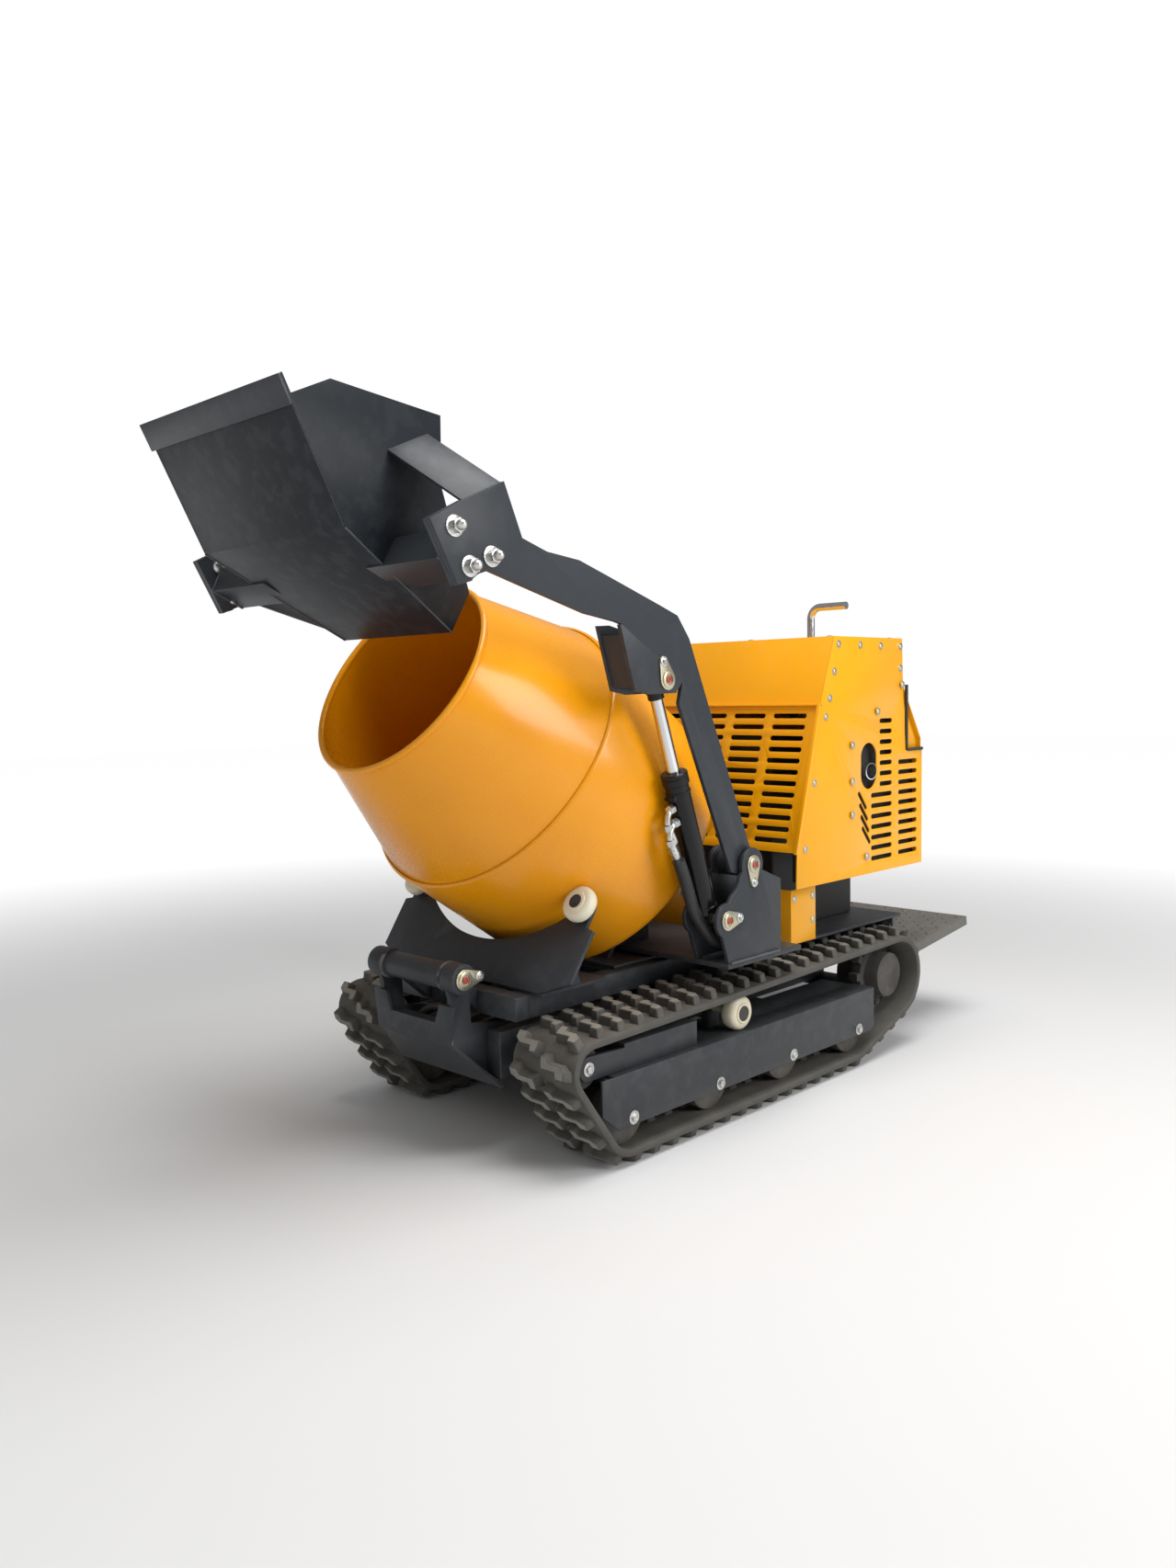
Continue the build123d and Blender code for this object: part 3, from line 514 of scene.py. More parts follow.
def tube(name, route, radius, sides=6, kind="NURBS"):
    """A round bar or hose along places in millimetres."""
    clear()
    bpy.ops.curve.primitive_nurbs_path_add()
    piece = bpy.context.object
    piece.name = piece.data.name = name
    piece.data.splines.clear()
    spline = piece.data.splines.new(kind)
    spline.points.add(len(route) - 1)
    for point, place in zip(spline.points, route):
        point.co = (*at(*place), 1)
    if kind == "NURBS":
        spline.order_u = 3
        spline.use_endpoint_u = True
    piece.data.bevel_depth = radius * MM
    piece.data.bevel_resolution = sides
    piece.data.resolution_u = 8
    piece.data.use_fill_caps = True
    bpy.ops.object.convert(target="MESH")
    piece = bpy.context.object
    bpy.ops.object.shade_smooth_by_angle(angle=math.radians(50))
    return piece


def together(name, pieces):
    """Several meshes as one piece."""
    clear()
    for piece in pieces:
        piece.select_set(True)
    bpy.context.view_layer.objects.active = pieces[0]
    if len(pieces) > 1:
        bpy.ops.object.join()
    pieces[0].name = pieces[0].data.name = name
    return pieces[0]


def fit(piece, body, material, stands_for=()):
    """Give a finished piece its finish and the body that it moves with."""
    piece.data.materials.clear()
    piece.data.materials.append(material)
    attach(piece, body)
    if stands_for:
        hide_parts(*stands_for)
    return piece


def on_face(side, y, pairs):
    """Places at one distance from the middle plane, from pairs of x and z."""
    return [(x, side * y, z) for x, z in pairs]


def span(side, near, far):
    """Two distances from the middle plane as values of y on one side, the lower first."""
    return sorted((side * near, side * far))


def painted(piece, body, slot, stands_for=()):
    """Fit a piece whose finish is the one kept for its slot."""
    return fit(piece, body, finishes[slot], stands_for)


# %% [markdown]
# ## Cut and folded plate
# Laser-cut plate has a slightly rounded edge that catches the light, and it is what makes painted
# steel look like steel. The engineering nodes are left alone: each is copied, its loose triangles
# are merged, and the copy's edges are rounded. Thin sheet gets a smaller radius than thick plate.

# %% Round the edges of the plates
EDGE_RADII = {
    "left_lift_arm": 1.6, "right_lift_arm": 1.6, "left_tower": 1.6, "right_tower": 1.6,
    "tower_base": 1.6, "bucket_shell": 1.2, "cutting_edge": 1.6, "bucket_mounts": 1.2,
    "front_plate": 1.6, "track_guards": 1.6, "track_tensioners": 1.6, "track_frames": 1.4,
    "drum_cradle": 1.6, "drum_support": 1.6, "mixer_rails": 2.5, "mixer_cross_beams": 2.0,
    "mixer_hinge": 2.0, "engine_deck": 1.5, "chassis_rails": 2.5, "chassis_cross_members": 2.0,
    "platform_bracket": 1.5, "foot_platform": 1.0, "hood_left_side": 0.7, "hood_right_side": 0.7,
    "hood_front": 0.7, "hood_top": 0.8, "control_console": 0.8, "hood_skirt": 0.8,
    "drive_sprockets": 1.5, "track_rollers": 2.0, "idler_wheels": 2.0, "engine_block": 6.0,
    "drum_drive": 2.0,
}


def softened(node, width):
    """A copy of a node with its triangles merged and its edges rounded."""
    piece = copied(frame["nodes"][node], node + "_plate")
    piece.parent = None
    pick(piece)
    open_up()
    bpy.ops.mesh.remove_doubles(threshold=0.02 * MM)
    bpy.ops.mesh.dissolve_limited(angle_limit=math.radians(1))
    bpy.ops.object.mode_set(mode="OBJECT")
    rounded(piece, width)
    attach(piece, body_of[node])
    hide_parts(node)
    return piece


plates = {node: softened(node, width) for node, width in EDGE_RADII.items()}
# The bucket shell takes the darker grey, which is painted shade.
plates["bucket_shell"].data.materials.clear()
plates["bucket_shell"].data.materials.append(bucket_painted_shade_enamel)
print("rounded", len(plates), "nodes,", sum(len(p.data.polygons) for p in plates.values()), "faces")

# %% [markdown]
# ## The tracks
# A rubber track is a moulded loop. Its belt lies round four wheels like a tight string, so the
# loop is the convex outline of their circles. One tread lug and one guide lug are modelled, and
# copies of them are set along the loop at the track's 60 mm pitch, in two rows half a step apart.

# %% The line that the belt follows
BELT, LUG, PITCH = 16.0, 19.0, 60.0
WHEEL_GAP = 1.0
BELT_STEPS = 260


def wheel(node, end=0):
    """Centre and radius of a wheel, in millimetres, from the box of its node."""
    low, high = (Vector(drawn(corner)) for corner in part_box(node))
    radius = (high.z - low.z) / 2
    middle = (low.x + high.x) / 2 + end * ((high.x - low.x) / 2 - radius)
    return middle, (low.z + high.z) / 2, radius


WHEELS = [wheel("track_rollers", 1), wheel("idler_wheels"), wheel("drive_sprockets"),
          wheel("track_rollers", -1)]


def belt_line(offset, steps):
    """Points and outward directions, evenly spaced round the loop, and the loop's length."""
    ring = []
    for x, z, radius in WHEELS:
        for i in range(180):
            turn = math.radians(2 * i)
            reach = radius + WHEEL_GAP + offset
            ring.append(Vector((x + reach * math.cos(turn), z + reach * math.sin(turn))))
    hull = [ring[i] for i in convex_hull_2d(ring)]
    legs = [(b - a).length for a, b in zip(hull, hull[1:] + hull[:1])]
    total, walked, leg, line = sum(legs), 0.0, 0, []
    for i in range(steps):
        while walked + legs[leg] < total * i / steps:
            walked += legs[leg]
            leg += 1
        a, b = hull[leg], hull[(leg + 1) % len(hull)]
        along = (b - a).normalized()
        point = a + along * (total * i / steps - walked)
        line.append((point, Vector((along.y, -along.x))))
    return line, total


belt_length = belt_line(BELT, BELT_STEPS)[1]
pitches = round(belt_length / PITCH)
print("belt", round(belt_length), "mm,", pitches, "pitches")

# %% One tread lug, one guide lug
track_low, track_high = (drawn(corner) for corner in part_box("left_track"))
track_mid = (track_low[1] + track_high[1]) / 2
half_track = (track_high[1] - track_low[1]) / 2
GUIDE_ROOT, GUIDE = 3, 17
LUG_SHAPE = [(-9, 4), (8, 8), (8, 52), (23, 58), (23, 84), (3, 84), (-9, 64), (-9, 30), (-23, 24),
             (-23, 4)]
ROOT = 6.0


def raised(name, shape, low, high, taper, radius):
    """A block with the given outline, standing on Z, its top drawn in by a taper."""
    piece = polygon(name, [Vector((x, y, low)) * MM for x, y in shape])
    middle = sum((Vector((x, y)) for x, y in shape), Vector((0, 0))) / len(shape) * MM
    extrude(0, 0, high - low)
    bpy.ops.transform.resize(value=(taper, taper, 1), center_override=(*middle, 0))
    close_up()
    return rounded(piece, radius, segments=1)


tread_lug = raised("tread_lug", LUG_SHAPE, -ROOT, LUG, 0.86, 1.8)
tread_lug.data.materials.append(finishes["track_rubber"])
tread_lug.data.materials.append(worn_rubber)
for face in tread_lug.data.polygons:
    face.material_index = int(face.normal.z > 0.9 and face.center.z > (LUG - 1) * MM)
guide_lug = raised("guide_lug", [(-15, -13), (15, -13), (15, 13), (-15, 13)],
                   -GUIDE_ROOT, GUIDE, 0.5, 2)
guide_lug.data.materials.append(finishes["track_rubber"])
print("lug faces", len(tread_lug.data.polygons), len(guide_lug.data.polygons))


# %% Belt with its lugs
# Four steps to a pitch let a lug start at its quarters; True is the outside of the belt.
lug_rows = {True: belt_line(BELT, pitches * 4)[0], False: belt_line(0.0, pitches * 4)[0]}


def set_on_belt(template, share, side, turn, outward):
    """A copy of a lug at a share of the loop, on one track, turned about its own Z."""
    row = lug_rows[outward]
    point, normal = row[round(share * len(row)) % len(row)]
    z_axis = Vector((normal.x, 0, normal.y)) * (1 if outward else -1)
    y_axis = Vector((0, 1, 0))
    x_axis = y_axis.cross(z_axis)
    basis = Matrix((x_axis, y_axis, z_axis)).transposed().to_4x4()
    made = copied(template, "lug")
    place = Matrix.Translation(at(point.x, side * track_mid, point.y))
    made.data.transform(place @ basis @ Matrix.Rotation(math.radians(turn), 4, "Z"))
    return made


def track(side, name):
    """One rubber track: belt, two rows of tread lugs and the guide lugs inside."""
    near = side * track_mid - half_track
    inner = [at(point.x, near, point.y) for point, _ in belt_line(0.0, BELT_STEPS)[0]]
    belt = polygon("belt", inner, fill_type="NOTHING")
    extrude(0, 2 * half_track, 0)
    close_up()
    applied(belt, "SOLIDIFY", thickness=BELT * MM, offset=1.0)
    rounded(belt, 4.0)
    belt.data.materials.append(finishes["track_rubber"])
    lugs = []
    for i in range(pitches):
        lugs.append(set_on_belt(tread_lug, i / pitches, side, 0, True))
        lugs.append(set_on_belt(tread_lug, (i + 0.5) / pitches, side, 180, True))
        lugs.append(set_on_belt(guide_lug, (i + 0.25) / pitches, side, 0, False))
    return together(name, [belt, *lugs])


for side, word in SIDES:
    moulded = track(side, word + "_rubber_track")
    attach(moulded, "chassis")
    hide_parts(word + "_track")
print("track faces", len(moulded.data.polygons))
for template in (tread_lug, guide_lug):
    bpy.data.objects.remove(template)

# %% [markdown]
# ## Nylon rollers
# Carrier rollers hold up the track's upper run, and two more carry the drum. Each is a cream
# nylon wheel with a crowned tread and a dark cap over its bearing.

# %% Rollers and caps
CROWN = [(0.3, 0), (0.55, 0.0), (0.6, 0.06), (0.80, 0.06), (0.95, 0.18), (1.0, 0.36),
         (1.0, 0.64), (0.95, 0.82), (0.80, 0.94), (0.6, 0.94), (0.56, 1.0), (0.3, 1.0)]


def nylon_roller(name, radius, width):
    """A crowned roller standing on Z."""
    profile = [(radius * r, width * z) for r, z in CROWN]
    return turned_piece(name, profile, sides=64, smooth=45)


def bearing_cap(name, radius, rise):
    """A dark cap with a turned ring, standing on Z."""
    return turned_piece(name, [
        (radius, 0), (radius, rise), (radius * 0.86, rise + 1), (radius * 0.78, rise + 1),
        (radius * 0.74, rise), (radius * 0.2, rise + 0.6)], sides=40)


carrier_low, carrier_high = (drawn(corner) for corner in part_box("carrier_rollers"))
carrier_radius = (carrier_high[2] - carrier_low[2]) / 2
carrier_x, carrier_z = (carrier_low[0] + carrier_high[0]) / 2, carrier_low[2] + carrier_radius
carrier_width = 42.0
wheels, caps = [], []
for side, word in SIDES:
    near = side * (carrier_high[1] - carrier_width)
    wheels.append(aim(nylon_roller("wheel", carrier_radius, carrier_width),
                      (carrier_x, near, carrier_z), (0, side, 0)))
    axle = turned_piece("axle", [(10, 0), (10, 46)], sides=24)
    wheels.append(aim(axle, (carrier_x, near - side * 45, carrier_z), (0, side, 0)))
    caps.append(aim(bearing_cap("cap", 17, 1.5), (carrier_x, side * carrier_high[1], carrier_z),
                    (0, side, 0)))
painted(together("carrier_roller_wheels", wheels), "chassis", "roller_nylon", ["carrier_rollers"])
painted(together("carrier_roller_caps", caps), "chassis", "engine_black")

drum_wheel_radius, drum_wheel_width = 39.0, 32.0
drum_turn = next(j for j in frame["joints"] if j["name"] == "drum_spin")
drum_axis = Vector(drum_turn["axis"]).normalized()
for side, word in SIDES:
    centre = Vector(drawn(joints[word + "_roller_spin"]))
    piece = nylon_roller(word + "_drum_wheel", drum_wheel_radius, drum_wheel_width)
    aim(piece, centre - drum_axis * drum_wheel_width / 2, drum_axis)
    painted(piece, word + "_roller", "roller_nylon", [word + "_drum_roller"])
    cap = bearing_cap(word + "_drum_wheel_cap", 15, 2)
    aim(cap, centre + drum_axis * (drum_wheel_width / 2 - 0.4), drum_axis)
    painted(cap, word + "_roller", "engine_black")
print("rollers", len(wheels) // 2 + 2)

# %% [markdown]
# ## Nuts, bolts and pins
# Fasteners are bright zinc. A hexagon head is a six-sided turned piece on a round washer, and a
# dome nut has a rounded end. The pins' retainers are drop-shaped flags, held by one small bolt
# and marked by a red cap.


# %% Fastener shapes
def hexagon_bolt(name, size):
    """Washer and hexagon head, standing on Z; size is the head's radius."""
    washer = turned_piece("washer", [(size * 1.6, 0), (size * 1.6, 1.6), (size * 1.5, 2.0)], 28)
    head = turned_piece("head", [
        (size, 1.5), (size, 1.5 + size * 0.55), (size * 0.88, 1.5 + size * 0.66),
        (size * 0.45, 1.5 + size * 0.68), (size * 0.4, 1.5 + size * 0.58)], 6)
    return together(name, [washer, head])


def dome_nut(name, size):
    """Washer, hexagon and dome."""
    washer = turned_piece("washer", [(size * 1.4, 0), (size * 1.4, 2.5), (size * 1.3, 3)], 32)
    flats = turned_piece("flats", [
        (size, 2.5), (size, 3 + size), (size * 0.84, 3.6 + size)], 6)
    dome = turned_piece("dome", [(size * 0.72, 3 + size)] + [
        (size * 0.72 * math.cos(math.radians(a)),
         5 + size * (1.1 + 0.8 * math.sin(math.radians(a))))
        for a in (0, 20, 40, 58, 72, 84)], 24, smooth=60)
    return together(name, [washer, flats, dome])


def round_head(name, size):
    """A pressed round head, as on a coach bolt or a panel screw."""
    return turned_piece(name, [(size, 0)] + [
        (size * math.cos(math.radians(a)), size * 0.5 * math.sin(math.radians(a)))
        for a in (12, 30, 48, 66, 82)], 20, smooth=60)


def scatter(name, template, places, direction, body, material=bright_zinc):
    """Copies of a fastener at several places, as one piece."""
    made = [aim(copied(template, "one"), place, direction, turn=37 * i)
            for i, place in enumerate(places)]
    return fit(together(name, made), body, material)


small_bolt = hexagon_bolt("small_bolt", 6.5)
frame_bolt = hexagon_bolt("frame_bolt", 9.0)
cap_nut = dome_nut("cap_nut", 13.5)
coach_head = round_head("coach_head", 15.0)
templates = [small_bolt, frame_bolt, cap_nut, coach_head]
print("fasteners", [t.name for t in templates])

# %% Bolts on the undercarriage and the arms
GUARD_BOLTS = [(x, 101) for x in (410, 126, -152, -438)]
IDLER_AXLE = (518, 222)
guard_face = drawn(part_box("track_guards")[1])[1]
fork_face = 381.0
arm_inner, arm_face = 391.0, drawn(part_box("left_lift_arm")[1])[1]
ARM_BOLTS = ((848, 1253), (816, 1187), (766, 1207))
for side, word in SIDES:
    out_way, in_way = (0, side, 0), (0, -side, 0)
    scatter(word + "_guard_bolts", frame_bolt, on_face(side, guard_face, GUARD_BOLTS),
            out_way, "chassis")
    scatter(word + "_idler_bolt", frame_bolt, on_face(side, fork_face, [IDLER_AXLE]),
            out_way, "chassis")
    scatter(word + "_bucket_nuts", cap_nut, on_face(side, arm_face, ARM_BOLTS),
            out_way, "lift_arms")
    scatter(word + "_bucket_bolt_heads", coach_head, on_face(side, arm_inner, ARM_BOLTS),
            in_way, "lift_arms")
print("bolts on both sides")


# %% Drop-shaped retainers of the pins
LOBE_REACH, FLAG_THICKNESS = 39.0, 4.0


def toward_lobe(centre, toward, reach):
    """The place in x and z at a reach from a centre, toward an angle in degrees."""
    lean = math.radians(toward)
    return centre[0] + reach * math.cos(lean), centre[1] + reach * math.sin(lean)


def drop(centre, toward, big=22.0, small=11.0):
    """Outline of a drop: a big circle and a small one, and the tight string round them."""
    ring = []
    for radius, reach in ((big, 0.0), (small, LOBE_REACH)):
        x, z = toward_lobe(centre, toward, reach)
        ring += [Vector((x + radius * math.cos(t * math.pi / 12),
                         z + radius * math.sin(t * math.pi / 12))) for t in range(24)]
    return [tuple(ring[i]) for i in convex_hull_2d(ring)]


def retainer(name, centre, face, side, toward, body, stands_for=()):
    """A flag with its raised ring, a red cap on the pin, and the bolt in its lobe."""
    x, z = centre
    out_way = (0, side, 0)
    flag = cut_plate("flag", drop(centre, toward),
                     *span(side, face, face + FLAG_THICKNESS), radius=1.2)
    ring = aim(turned_piece("ring", [(17.5, 0), (17.5, 3), (16, 4), (11, 4), (10, 1)], 40),
               (x, side * (face + 3.5), z), out_way)
    painted(together(name, [flag, ring]), body, "zinc_plate", stands_for)
    cap = turned_piece(name + "_cap", [(7.5, 0), (7.5, 2), (6, 3), (4, 3.2), (3, 2.2)], 28)
    fit(aim(cap, (x, side * (face + 4.5), z), out_way), body, red_mark)
    lobe = toward_lobe(centre, toward, LOBE_REACH)
    scatter(name + "_bolt", small_bolt, on_face(side, face + FLAG_THICKNESS, [lobe]), out_way,
            body)


tower_face = drawn(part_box("left_tower")[1])[1]
hinge_face = 145.0
rod_eye = (300.0, 990.0)
pivot_xz, foot_xz = (arm_pivot[0], arm_pivot[2]), (lift_foot[0], lift_foot[2])
hinge_xz = (front_hinge[0], front_hinge[2])
for side, word in SIDES:
    retainer(word + "_arm_pin_flag", pivot_xz, tower_face, side, -90, "mixer_frame",
             ["tower_pins"] if side > 0 else ())
    retainer(word + "_cylinder_pin_flag", foot_xz, tower_face, side, 178, "mixer_frame")
    retainer(word + "_rod_pin_flag", rod_eye, arm_face, side, 70, "lift_arms")
    retainer(word + "_hinge_pin_flag", hinge_xz, hinge_face, side, 178, "chassis",
             ["tipping_pins"] if side > 0 else ())


def shafts(name, places, radius, length, face, body):
    """The bare pins behind the retainers of both sides, from an outer face inwards."""
    pins = [aim(turned_piece("pin", [(radius, 0), (radius, length)], 32), place, (0, side, 0))
            for side, _ in SIDES for place in on_face(side, face - length, places)]
    painted(together(name, pins), body, "zinc_plate")


shafts("tower_pin_shafts", [pivot_xz, foot_xz], 12, 99, tower_face, "mixer_frame")
shafts("hinge_pin_shafts", [hinge_xz], 15, 95, hinge_face, "chassis")
shafts("rod_pin_shafts", [rod_eye], 12, 62, arm_face, "lift_arms")
print("retainers", 8)

# %% [markdown]
# ## The mixing drum
# The drum is spun from sheet: a cone, a barrel that laps over it at the seam, and a rolled rim
# round the mouth. It is modelled from the mouth backwards, at a finer step than the engineering
# shape, and then laid on the drum's axis.

# %% Drum shell
DRUM_BACK = -drum_axis if drum_axis.x > 0 else drum_axis
MOUTH = (666.0, 0.0, 1005.0)
MOUTH_RADIUS, SEAM_RADIUS, BARREL_RADIUS = 225.0, 334.0, 339.0
SEAM_DEPTH, DRUM_DEPTH, WALL = 298.0, 695.0, 5.0
AXLE_RADIUS = 28.0


def on_drum(piece, depth=0.0):
    """Lay a piece made about the origin on the drum's axis, at a depth behind the mouth."""
    start = Vector(MOUTH) + DRUM_BACK * depth
    return aim(piece, start, DRUM_BACK)


lap = SEAM_DEPTH + 14
cone = turned_piece("cone", [
    (MOUTH_RADIUS - WALL, 0), (MOUTH_RADIUS, 0), (SEAM_RADIUS, SEAM_DEPTH), (SEAM_RADIUS, lap),
    (SEAM_RADIUS - WALL, lap), (SEAM_RADIUS - WALL, SEAM_DEPTH), (MOUTH_RADIUS - WALL, 0)],
    sides=160, smooth=30, hollow=True)
bpy.ops.mesh.primitive_torus_add(
    major_radius=(MOUTH_RADIUS + 1) * MM, minor_radius=7 * MM, major_segments=160,
    minor_segments=16)
rim = bpy.context.object
bpy.ops.object.shade_smooth()
on_drum(rim, 1)
on_drum(cone)
fit(together("drum_cone_shell", [cone, rim]), "drum", drum_enamel,
    ["drum_front_cone"])

inner, start, end = BARREL_RADIUS - WALL + 0.2, SEAM_DEPTH - 6, DRUM_DEPTH
barrel_shell = turned_piece("barrel_shell", [
    (inner, start), (337.6, start), (BARREL_RADIUS, start + 3), (BARREL_RADIUS, end - 24),
    (336, end - 12), (329, end - 4), (318, end), (90, end), (86, end + 14), (34, end + 14),
    (AXLE_RADIUS, end + 17), (AXLE_RADIUS, end + 85), (6, end + 85), (6, end - WALL),
    (312, end - WALL), (330, end - 20), (inner, end - 40), (inner, start)],
    sides=160, smooth=30, hollow=True)
seam = turned_piece("seam", [(332.4, 289), (336, 289.5), (338, 292), (335, 293), (332.4, 289)],
                    160, smooth=60, hollow=True)
on_drum(seam)
on_drum(barrel_shell)
fit(together("drum_barrel_shell", [barrel_shell, seam]), "drum", drum_enamel,
    ["drum_barrel"])
print("drum shell", 2, "pieces")

# %% [markdown]
# ## Cylinders and hoses
# Each lift cylinder has a threaded gland at the mouth of its barrel, a collar under the eye of
# its rod, and two hydraulic hoses that run on in one sleeve, here a plain round tube. The fittings
# move with the barrel. The sleeve's lower end goes into the tower.

# %% Cylinder trim
foot_spot = Vector((foot_xz[0], 0.0, foot_xz[1]))
eye_spot = Vector((rod_eye[0], 0.0, rod_eye[1]))
stroke_way = (eye_spot - foot_spot).normalized()
eye_reach = (eye_spot - foot_spot).length
bore_y = lift_foot[1]


def by_cylinder(along, ahead, side, across=0.0):
    """A place beside a lift cylinder: along its axis, ahead of it, and across it, in mm."""
    spot = foot_spot + stroke_way * along + Vector((stroke_way.z, 0, -stroke_way.x)) * ahead
    return spot.x, side * (bore_y + across), spot.z


for side, word in SIDES:
    gland = turned_piece("gland", [
        (26.2, 318), (29.5, 320), (29.5, 333), (28, 334), (28, 336), (29.5, 337), (29.5, 343),
        (27.5, 345), (16, 345.5), (14.3, 343)], 48)
    band = turned_piece("band", [(26.2, 298), (27.8, 299), (27.8, 303), (26.2, 304)], 48)
    foot_weld = turned_piece("foot_weld", [(24, 26), (27.5, 27), (27.5, 31), (26.2, 33)], 40)
    trim = together(word + "_cylinder_gland", [gland, band, foot_weld])
    aim(trim, (foot_spot.x, side * bore_y, foot_spot.z), stroke_way)
    painted(trim, word + "_barrel", "cylinder_black")
    collar = turned_piece(word + "_rod_collar", [
        (14.3, eye_reach - 42), (17.5, eye_reach - 41), (17.5, eye_reach - 30),
        (20, eye_reach - 26), (20, eye_reach - 16)], 40)
    aim(collar, (foot_spot.x, side * bore_y, foot_spot.z), stroke_way)
    fit(collar, word + "_rod", finishes["cylinder_black"])
print("cylinder trim on", len(SIDES), "sides")

# %% Elbows, ferrules and hoses
for side, word in SIDES:
    body = word + "_barrel"
    silver, black = [], []
    for along, ahead, across in ((274, 52, 2), (243, 60, 6)):
        start = by_cylinder(along, 26, side, across * 0.5)
        bend = by_cylinder(along, ahead, side, across)
        down = by_cylinder(along - 26, ahead + 5, side, across)
        silver.append(tube("elbow", [start, bend, down], 6.5))
        nut = turned_piece("nut", [(11, 0), (11, 12), (9.5, 13.5)], 6)
        silver.append(aim(nut, by_cylinder(along, 30, side, across * 0.6),
                          Vector(bend) - Vector(start)))
        swivel = turned_piece("swivel", [(10.5, 0), (10.5, 13), (8, 15)], 6)
        silver.append(aim(swivel, down, Vector(by_cylinder(along - 40, ahead + 4, side, across))
                          - Vector(down)))
        ferrule = turned_piece("ferrule", [
            (8.5, 0), (9.5, 1), (9.5, 9), (8.7, 10), (9.5, 11), (9.5, 19), (8.7, 20),
            (9.5, 21), (9.5, 32), (8.2, 34)], 28)
        low = by_cylinder(along - 38, ahead + 5, side, across)
        lower = by_cylinder(along - 80, ahead - 4, side, across)
        silver.append(aim(ferrule, low, Vector(lower) - Vector(low)))
        black.append(tube("hose", [
            by_cylinder(along - 66, ahead + 1, side, across),
            by_cylinder(along - 86, ahead - 3, side, across),
            by_cylinder(150, 48, side, across * 0.6), by_cylinder(120, 44, side, across * 0.5)],
            7.5))
    fit(together(word + "_hose_fittings", silver), body, bright_zinc)
    fit(together(word + "_hose_ends", black), body, hose_rubber)
    clamp = cut_plate(word + "_pipe_bracket", [(229, 746), (247, 732), (252, 738), (234, 753)],
                      *span(side, 356, 384), radius=1.0)
    painted(clamp, body, "cylinder_black")
    route = [by_cylinder(162, 50, side, 2), by_cylinder(130, 45, side, 2),
             by_cylinder(98, 42, side, 1), by_cylinder(66, 40, side, 0),
             by_cylinder(30, 38, side, 0)]
    route += on_face(side, bore_y, [(112, 416), (84, 404), (52, 401), (20, 398)])
    sleeve = tube(word + "_braided_sleeve", route, 14.0, sides=8)
    # Twice as many rings of vertices along the sleeve.
    applied(sleeve, "SUBSURF", levels=1, subdivision_type="SIMPLE")
    sleeve.data.materials.append(hose_rubber)
    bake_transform(sleeve)
print("hoses", 4)

# %% [markdown]
# ## The hood
# The hood is folded from thin sheet and screwed together. A louvred panel lies over its nose and
# a service panel over each side, so both are cut from the engineering sheets and set a little
# proud. A dark lining behind the louvres keeps the engine's noise in.


# %% Panels that lie on the hood
def proud_panel(name, node, outline, low, high, shift, widen=1.0):
    """The part of a sheet inside an outline, moved out by a shift in millimetres."""
    panel = copied(frame["nodes"][node], name)
    panel.parent = None
    prism = cut_plate("prism", outline, low, high, radius=0)
    applied(panel, "BOOLEAN", object=prism, operation="INTERSECT", solver="EXACT")
    bpy.data.objects.remove(prism)
    panel.data.transform(Matrix.Translation(Vector(shift) * MM) @ Matrix.Scale(
        widen, 4, (0, 1, 0)))
    rounded(panel, 0.5)
    return painted(panel, "chassis", "yellow_paint")


SERVICE = [(-694, 990), (-545, 916), (-416, 833), (-416, 641), (-486, 545), (-486, 494),
           (-772, 494), (-772, 796), (-694, 800)]
HOOD_FACE, PROUD, FLANGE_EDGE = 388.0, 4.0, 393.4
nose_out = Vector((349.0, 0.0, 99.0)).normalized()
for side, word in SIDES:
    proud_panel(word + "_service_panel", f"hood_{word}_side", SERVICE,
                *span(side, HOOD_FACE - 8, HOOD_FACE + 4), (0, side * PROUD, 0))
    flange = cut_plate(
        word + "_nose_flange", [(-289, 927), (-188, 572), (-179, 575), (-281, 930)],
        *span(side, HOOD_FACE - 4, FLANGE_EDGE), radius=0.8)
    painted(flange, "chassis", "yellow_paint")
proud_panel("louvre_panel", "hood_front", [(-320, 921), (-150, 921), (-150, 576), (-320, 576)],
            -395, 395, nose_out * 5, widen=1.014)
top_flange = cut_plate("nose_top_flange", [(-292, 922), (-281, 925), (-283, 931), (-294, 928)],
                       -FLANGE_EDGE, FLANGE_EDGE, radius=0.8)
painted(top_flange, "chassis", "yellow_paint")
print("panels", 3)

# %% Screws of the hood
TOP_ROW = [(-370, 1074), (-468, 1073), (-565, 1072), (-663, 1072), (-663, 1015)]
NOSE_ROW = [(-351, 1007), (-331, 942), (-313, 897), (-264, 739), (-224, 582)]
PANEL_ROW = [(-667, 972), (-546, 905), (-427, 823), (-427, 732), (-427, 648), (-494, 536)]
SKIRT_ROW = [(-318, 455), (-318, 395), (-240, 455)]
hood_screw = round_head("hood_screw", 7.0)
hood_washer = turned_piece("hood_washer", [(9.5, 0), (9.5, 1.2), (9, 1.6)], 24)
hood_screw = together("hood_screw", [hood_screw, hood_washer])


def screws(name, places, direction):
    """Hood screws at several places, as one piece."""
    scatter(name, hood_screw, places, direction, "chassis", finishes["zinc_plate"])


